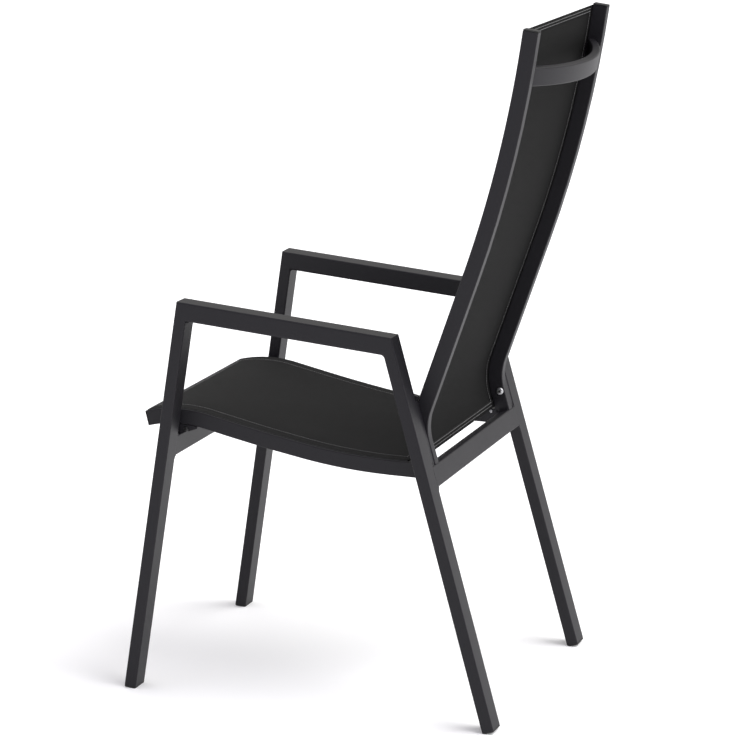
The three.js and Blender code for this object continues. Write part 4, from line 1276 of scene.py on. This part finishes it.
class CHAIR_OT_fasteners(bpy.types.Operator):
    """Adds the bolts, screws and nuts"""

    bl_idname = "chair.fasteners"
    bl_label = "Fasteners"
    bl_options = {"REGISTER", "UNDO"}

    def execute(self, context):
        fastener = context.scene.chair.fastener
        for node, name, shank, finish, sense in (
                ("back_bolt", "back_button_bolt", 0.003, bright_steel, -1),
                ("seat_screw", "seat_tongue_screw", 0.0015, bright_steel, -1),
                ("lug_bolt", "lug_button_bolt", 0.0025, black_steel, 1)):
            sizes = [getattr(fastener, f"{node}_{part}") for part in (
                "head_radius", "head_height", "socket_radius", "socket_depth")]
            low, high, middle = measured(f"left_{node}")
            head_height = sizes[1]
            seat = high - head_height if sense > 0 else low + head_height
            bm = socket_head(*sizes, shank, seat - low if sense > 0 else high - seat)
            bmesh.ops.transform(bm, matrix=across_chair(middle, seat, sense), verts=bm.verts[:])
            add_pair(context, name, bm, finish, [node], flat_faces=False)
        add_pair(context, "lug_hexagon_nut", dressed("left_lug_nut"), black_steel, ["lug_nut"],
                 edge=fastener.nut_edge)

        low, high, middle = measured("left_rivet_nut")
        flange, thick = fastener.flange_radius, fastener.flange_thickness
        bore, barrel = fastener.bore_radius, fastener.barrel_radius
        rings = (
            (0, bore), (0, flange * 0.95), (thick / 2, flange), (thick, flange), (thick * 1.125, barrel),
            (high - low, barrel), (high - low, bore))
        places = [across_chair(middle, low, 1) @ disc(*ring) for ring in rings]
        bm = bmesh.new()
        sweep(bm, circle(bm, 32), [*places, places[0]], close_first=False, close_last=False)
        add_pair(context, "rivet_nut_turned", bm, bright_steel, ["rivet_nut"], flat_faces=False)
        return {"FINISHED"}


class CHAIR_OT_seat_hardware(bpy.types.Operator):
    """Adds the lugs, the spacer plates, the tongues and the spreader"""

    bl_idname = "chair.seat_hardware"
    bl_label = "Seat hardware"
    bl_options = {"REGISTER", "UNDO"}

    def execute(self, context):
        chair = context.scene.chair
        layout = Layout(chair)
        for name in both("crossbar_lug", "seat_lug", "back_spacer", "seat_tongue"):
            add_piece(context, f"{name}_plate", dressed(name), powder_coat, [name], edge=chair.fastener.edge)
        point, turn = layout.seat_line.pose(layout.seat_rear_end - chair.seat.spreader_distance)
        radius = chair.seat.spreader_radius
        weld = 0.002
        reach = layout.rail_inner + FIT_GAP
        rings = [(0, radius + weld), (weld * 0.4, radius + weld * 0.4), (weld * 1.2, radius)]
        rings += [(reach * 2 - height, size) for height, size in rings[::-1]]
        bm = bmesh.new()
        sweep(bm, circle(bm, 32), [across_chair(point, -reach, 1) @ disc(*ring) for ring in rings])
        add_piece(context, "seat_spreader_tube", bm, powder_coat, ["seat_spreader"], flat_faces=False)
        return {"FINISHED"}


class CHAIR_OT_welts(bpy.types.Operator):
    """Gives the CAD welts in the rails' grooves their plastic"""

    bl_idname = "chair.welts"
    bl_label = "Welts"
    bl_options = {"REGISTER", "UNDO"}

    def execute(self, context):
        for name in both("back_welt", "seat_welt"):
            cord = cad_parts[name]
            cord.data.materials.clear()
            cord.data.materials.append(painted(context, black_plastic))
        return {"FINISHED"}


class CHAIR_OT_stage(bpy.types.Operator):
    """Adds the pale floor, the soft studio light and the camera"""

    bl_idname = "chair.stage"
    bl_label = "Stage"
    bl_options = {"REGISTER", "UNDO"}

    def execute(self, context):
        stage = context.scene.chair.stage
        scene = context.scene
        scene.view_settings.view_transform = "Standard"

        floor_half_size = 30
        bm = bmesh.new()
        bmesh.ops.create_grid(bm, x_segments=1, y_segments=1, size=floor_half_size)
        mesh = mesh_of("studio_floor", bm)
        mesh.materials.append(painted(context, pale_floor))
        floor = bpy.data.objects.new("studio_floor", mesh)
        scene.collection.objects.link(floor)

        world = bpy.data.worlds.new("studio")
        world.use_nodes = True
        scene.world = world
        paint = Paint(world.node_tree)
        side = paint.parts(paint.node("ShaderNodeTexCoord", output="Generated"))
        near = (side * 0.8 + 0.45).kept()
        around = near * (stage.near_light - stage.far_light) + stage.far_light
        level = around + (stage.top_light - around) * side.out("Z").kept()
        warm, cool = (1.0, 0.985, 0.95), (0.96, 0.94, 1.06)
        sky = paint.node("ShaderNodeBackground", {}, {
            "Color": paint.blend(near, warm, cool), "Strength": level})
        paint.node("ShaderNodeOutputWorld", {}, {"Surface": sky})

        light = bpy.data.lights.new("key_light", "SUN")
        light.energy = stage.key_strength
        light.angle = stage.key_spread
        lamp = bpy.data.objects.new("key_light", light)
        lamp.rotation_mode = "QUATERNION"
        lamp.rotation_quaternion = Vector(stage.key_way).to_track_quat("-Z", "Y")
        scene.collection.objects.link(lamp)

        data = bpy.data.cameras.new("studio_camera")
        data.sensor_fit = "HORIZONTAL"
        data.sensor_width = stage.sensor_width
        data.lens = stage.focal_length
        data.clip_start = 0.05
        data.clip_end = 100
        camera = bpy.data.objects.new("studio_camera", data)
        scene.collection.objects.link(camera)
        turn, drop, roll = stage.camera_turn, stage.camera_drop, stage.camera_roll
        back = Vector((
            math.sin(turn) * math.cos(drop), -math.cos(turn) * math.cos(drop), math.sin(drop)))
        right = Vector((0, 0, 1)).cross(back).normalized()
        up = back.cross(right)
        rolled_right = right * math.cos(roll) + up * math.sin(roll)
        rolled_up = up * math.cos(roll) - right * math.sin(roll)
        camera.matrix_world = matrix_from(rolled_right, rolled_up, back, Vector(stage.camera_place))
        scene.camera = camera
        return {"FINISHED"}


OPERATORS = (
    CHAIR_OT_stage,
    CHAIR_OT_side_frames,
    CHAIR_OT_glides,
    CHAIR_OT_crossbars,
    CHAIR_OT_back_rails,
    CHAIR_OT_seat_rails,
    CHAIR_OT_rail_caps,
    CHAIR_OT_handle,
    CHAIR_OT_slings,
    CHAIR_OT_fasteners,
    CHAIR_OT_seat_hardware,
    CHAIR_OT_welts,
)


class CHAIR_PT_pieces(bpy.types.Panel):
    """Lists the chair's sizes and its pieces"""

    bl_idname = "CHAIR_PT_pieces"
    bl_label = "Sling patio chair"
    bl_space_type = "VIEW_3D"
    bl_region_type = "UI"
    bl_category = "Chair"

    def draw(self, context):
        chair = context.scene.chair
        for group in ("side", "bars", "rail", "back", "seat", "sling", "fastener", "finish", "stage"):
            box = self.layout.box()
            sizes = getattr(chair, group)
            box.label(text=type(chair).bl_rna.properties[group].name)
            for field in sizes.bl_rna.properties:
                if field.identifier not in {"rna_type", "name"}:
                    box.prop(sizes, field.identifier)
        for operator in OPERATORS:
            self.layout.operator(operator.bl_idname)


CLASSES = (
    SideFrameSizes,
    CrossbarSizes,
    RailSizes,
    BackSizes,
    SeatSizes,
    SlingSizes,
    FastenerSizes,
    Finishes,
    StageSettings,
    ChairSettings,
    *OPERATORS,
    CHAIR_PT_pieces,
)


def register():
    for item in CLASSES:
        bpy.utils.register_class(item)
    bpy.types.Scene.chair = PointerProperty(
        type=ChairSettings, name="Chair", description="Sizes and colours of the sling patio chair")


def unregister():
    del bpy.types.Scene.chair
    for item in reversed(CLASSES):
        bpy.utils.unregister_class(item)


def main():
    register()
    bpy.ops.chair.stage()
    bpy.ops.chair.side_frames()
    bpy.ops.chair.glides()
    bpy.ops.chair.crossbars()
    bpy.ops.chair.back_rails()
    bpy.ops.chair.seat_rails()
    bpy.ops.chair.rail_caps()
    bpy.ops.chair.handle()
    bpy.ops.chair.slings()
    bpy.ops.chair.fasteners()
    bpy.ops.chair.seat_hardware()
    bpy.ops.chair.welts()


if __name__ == "__main__":
    main()
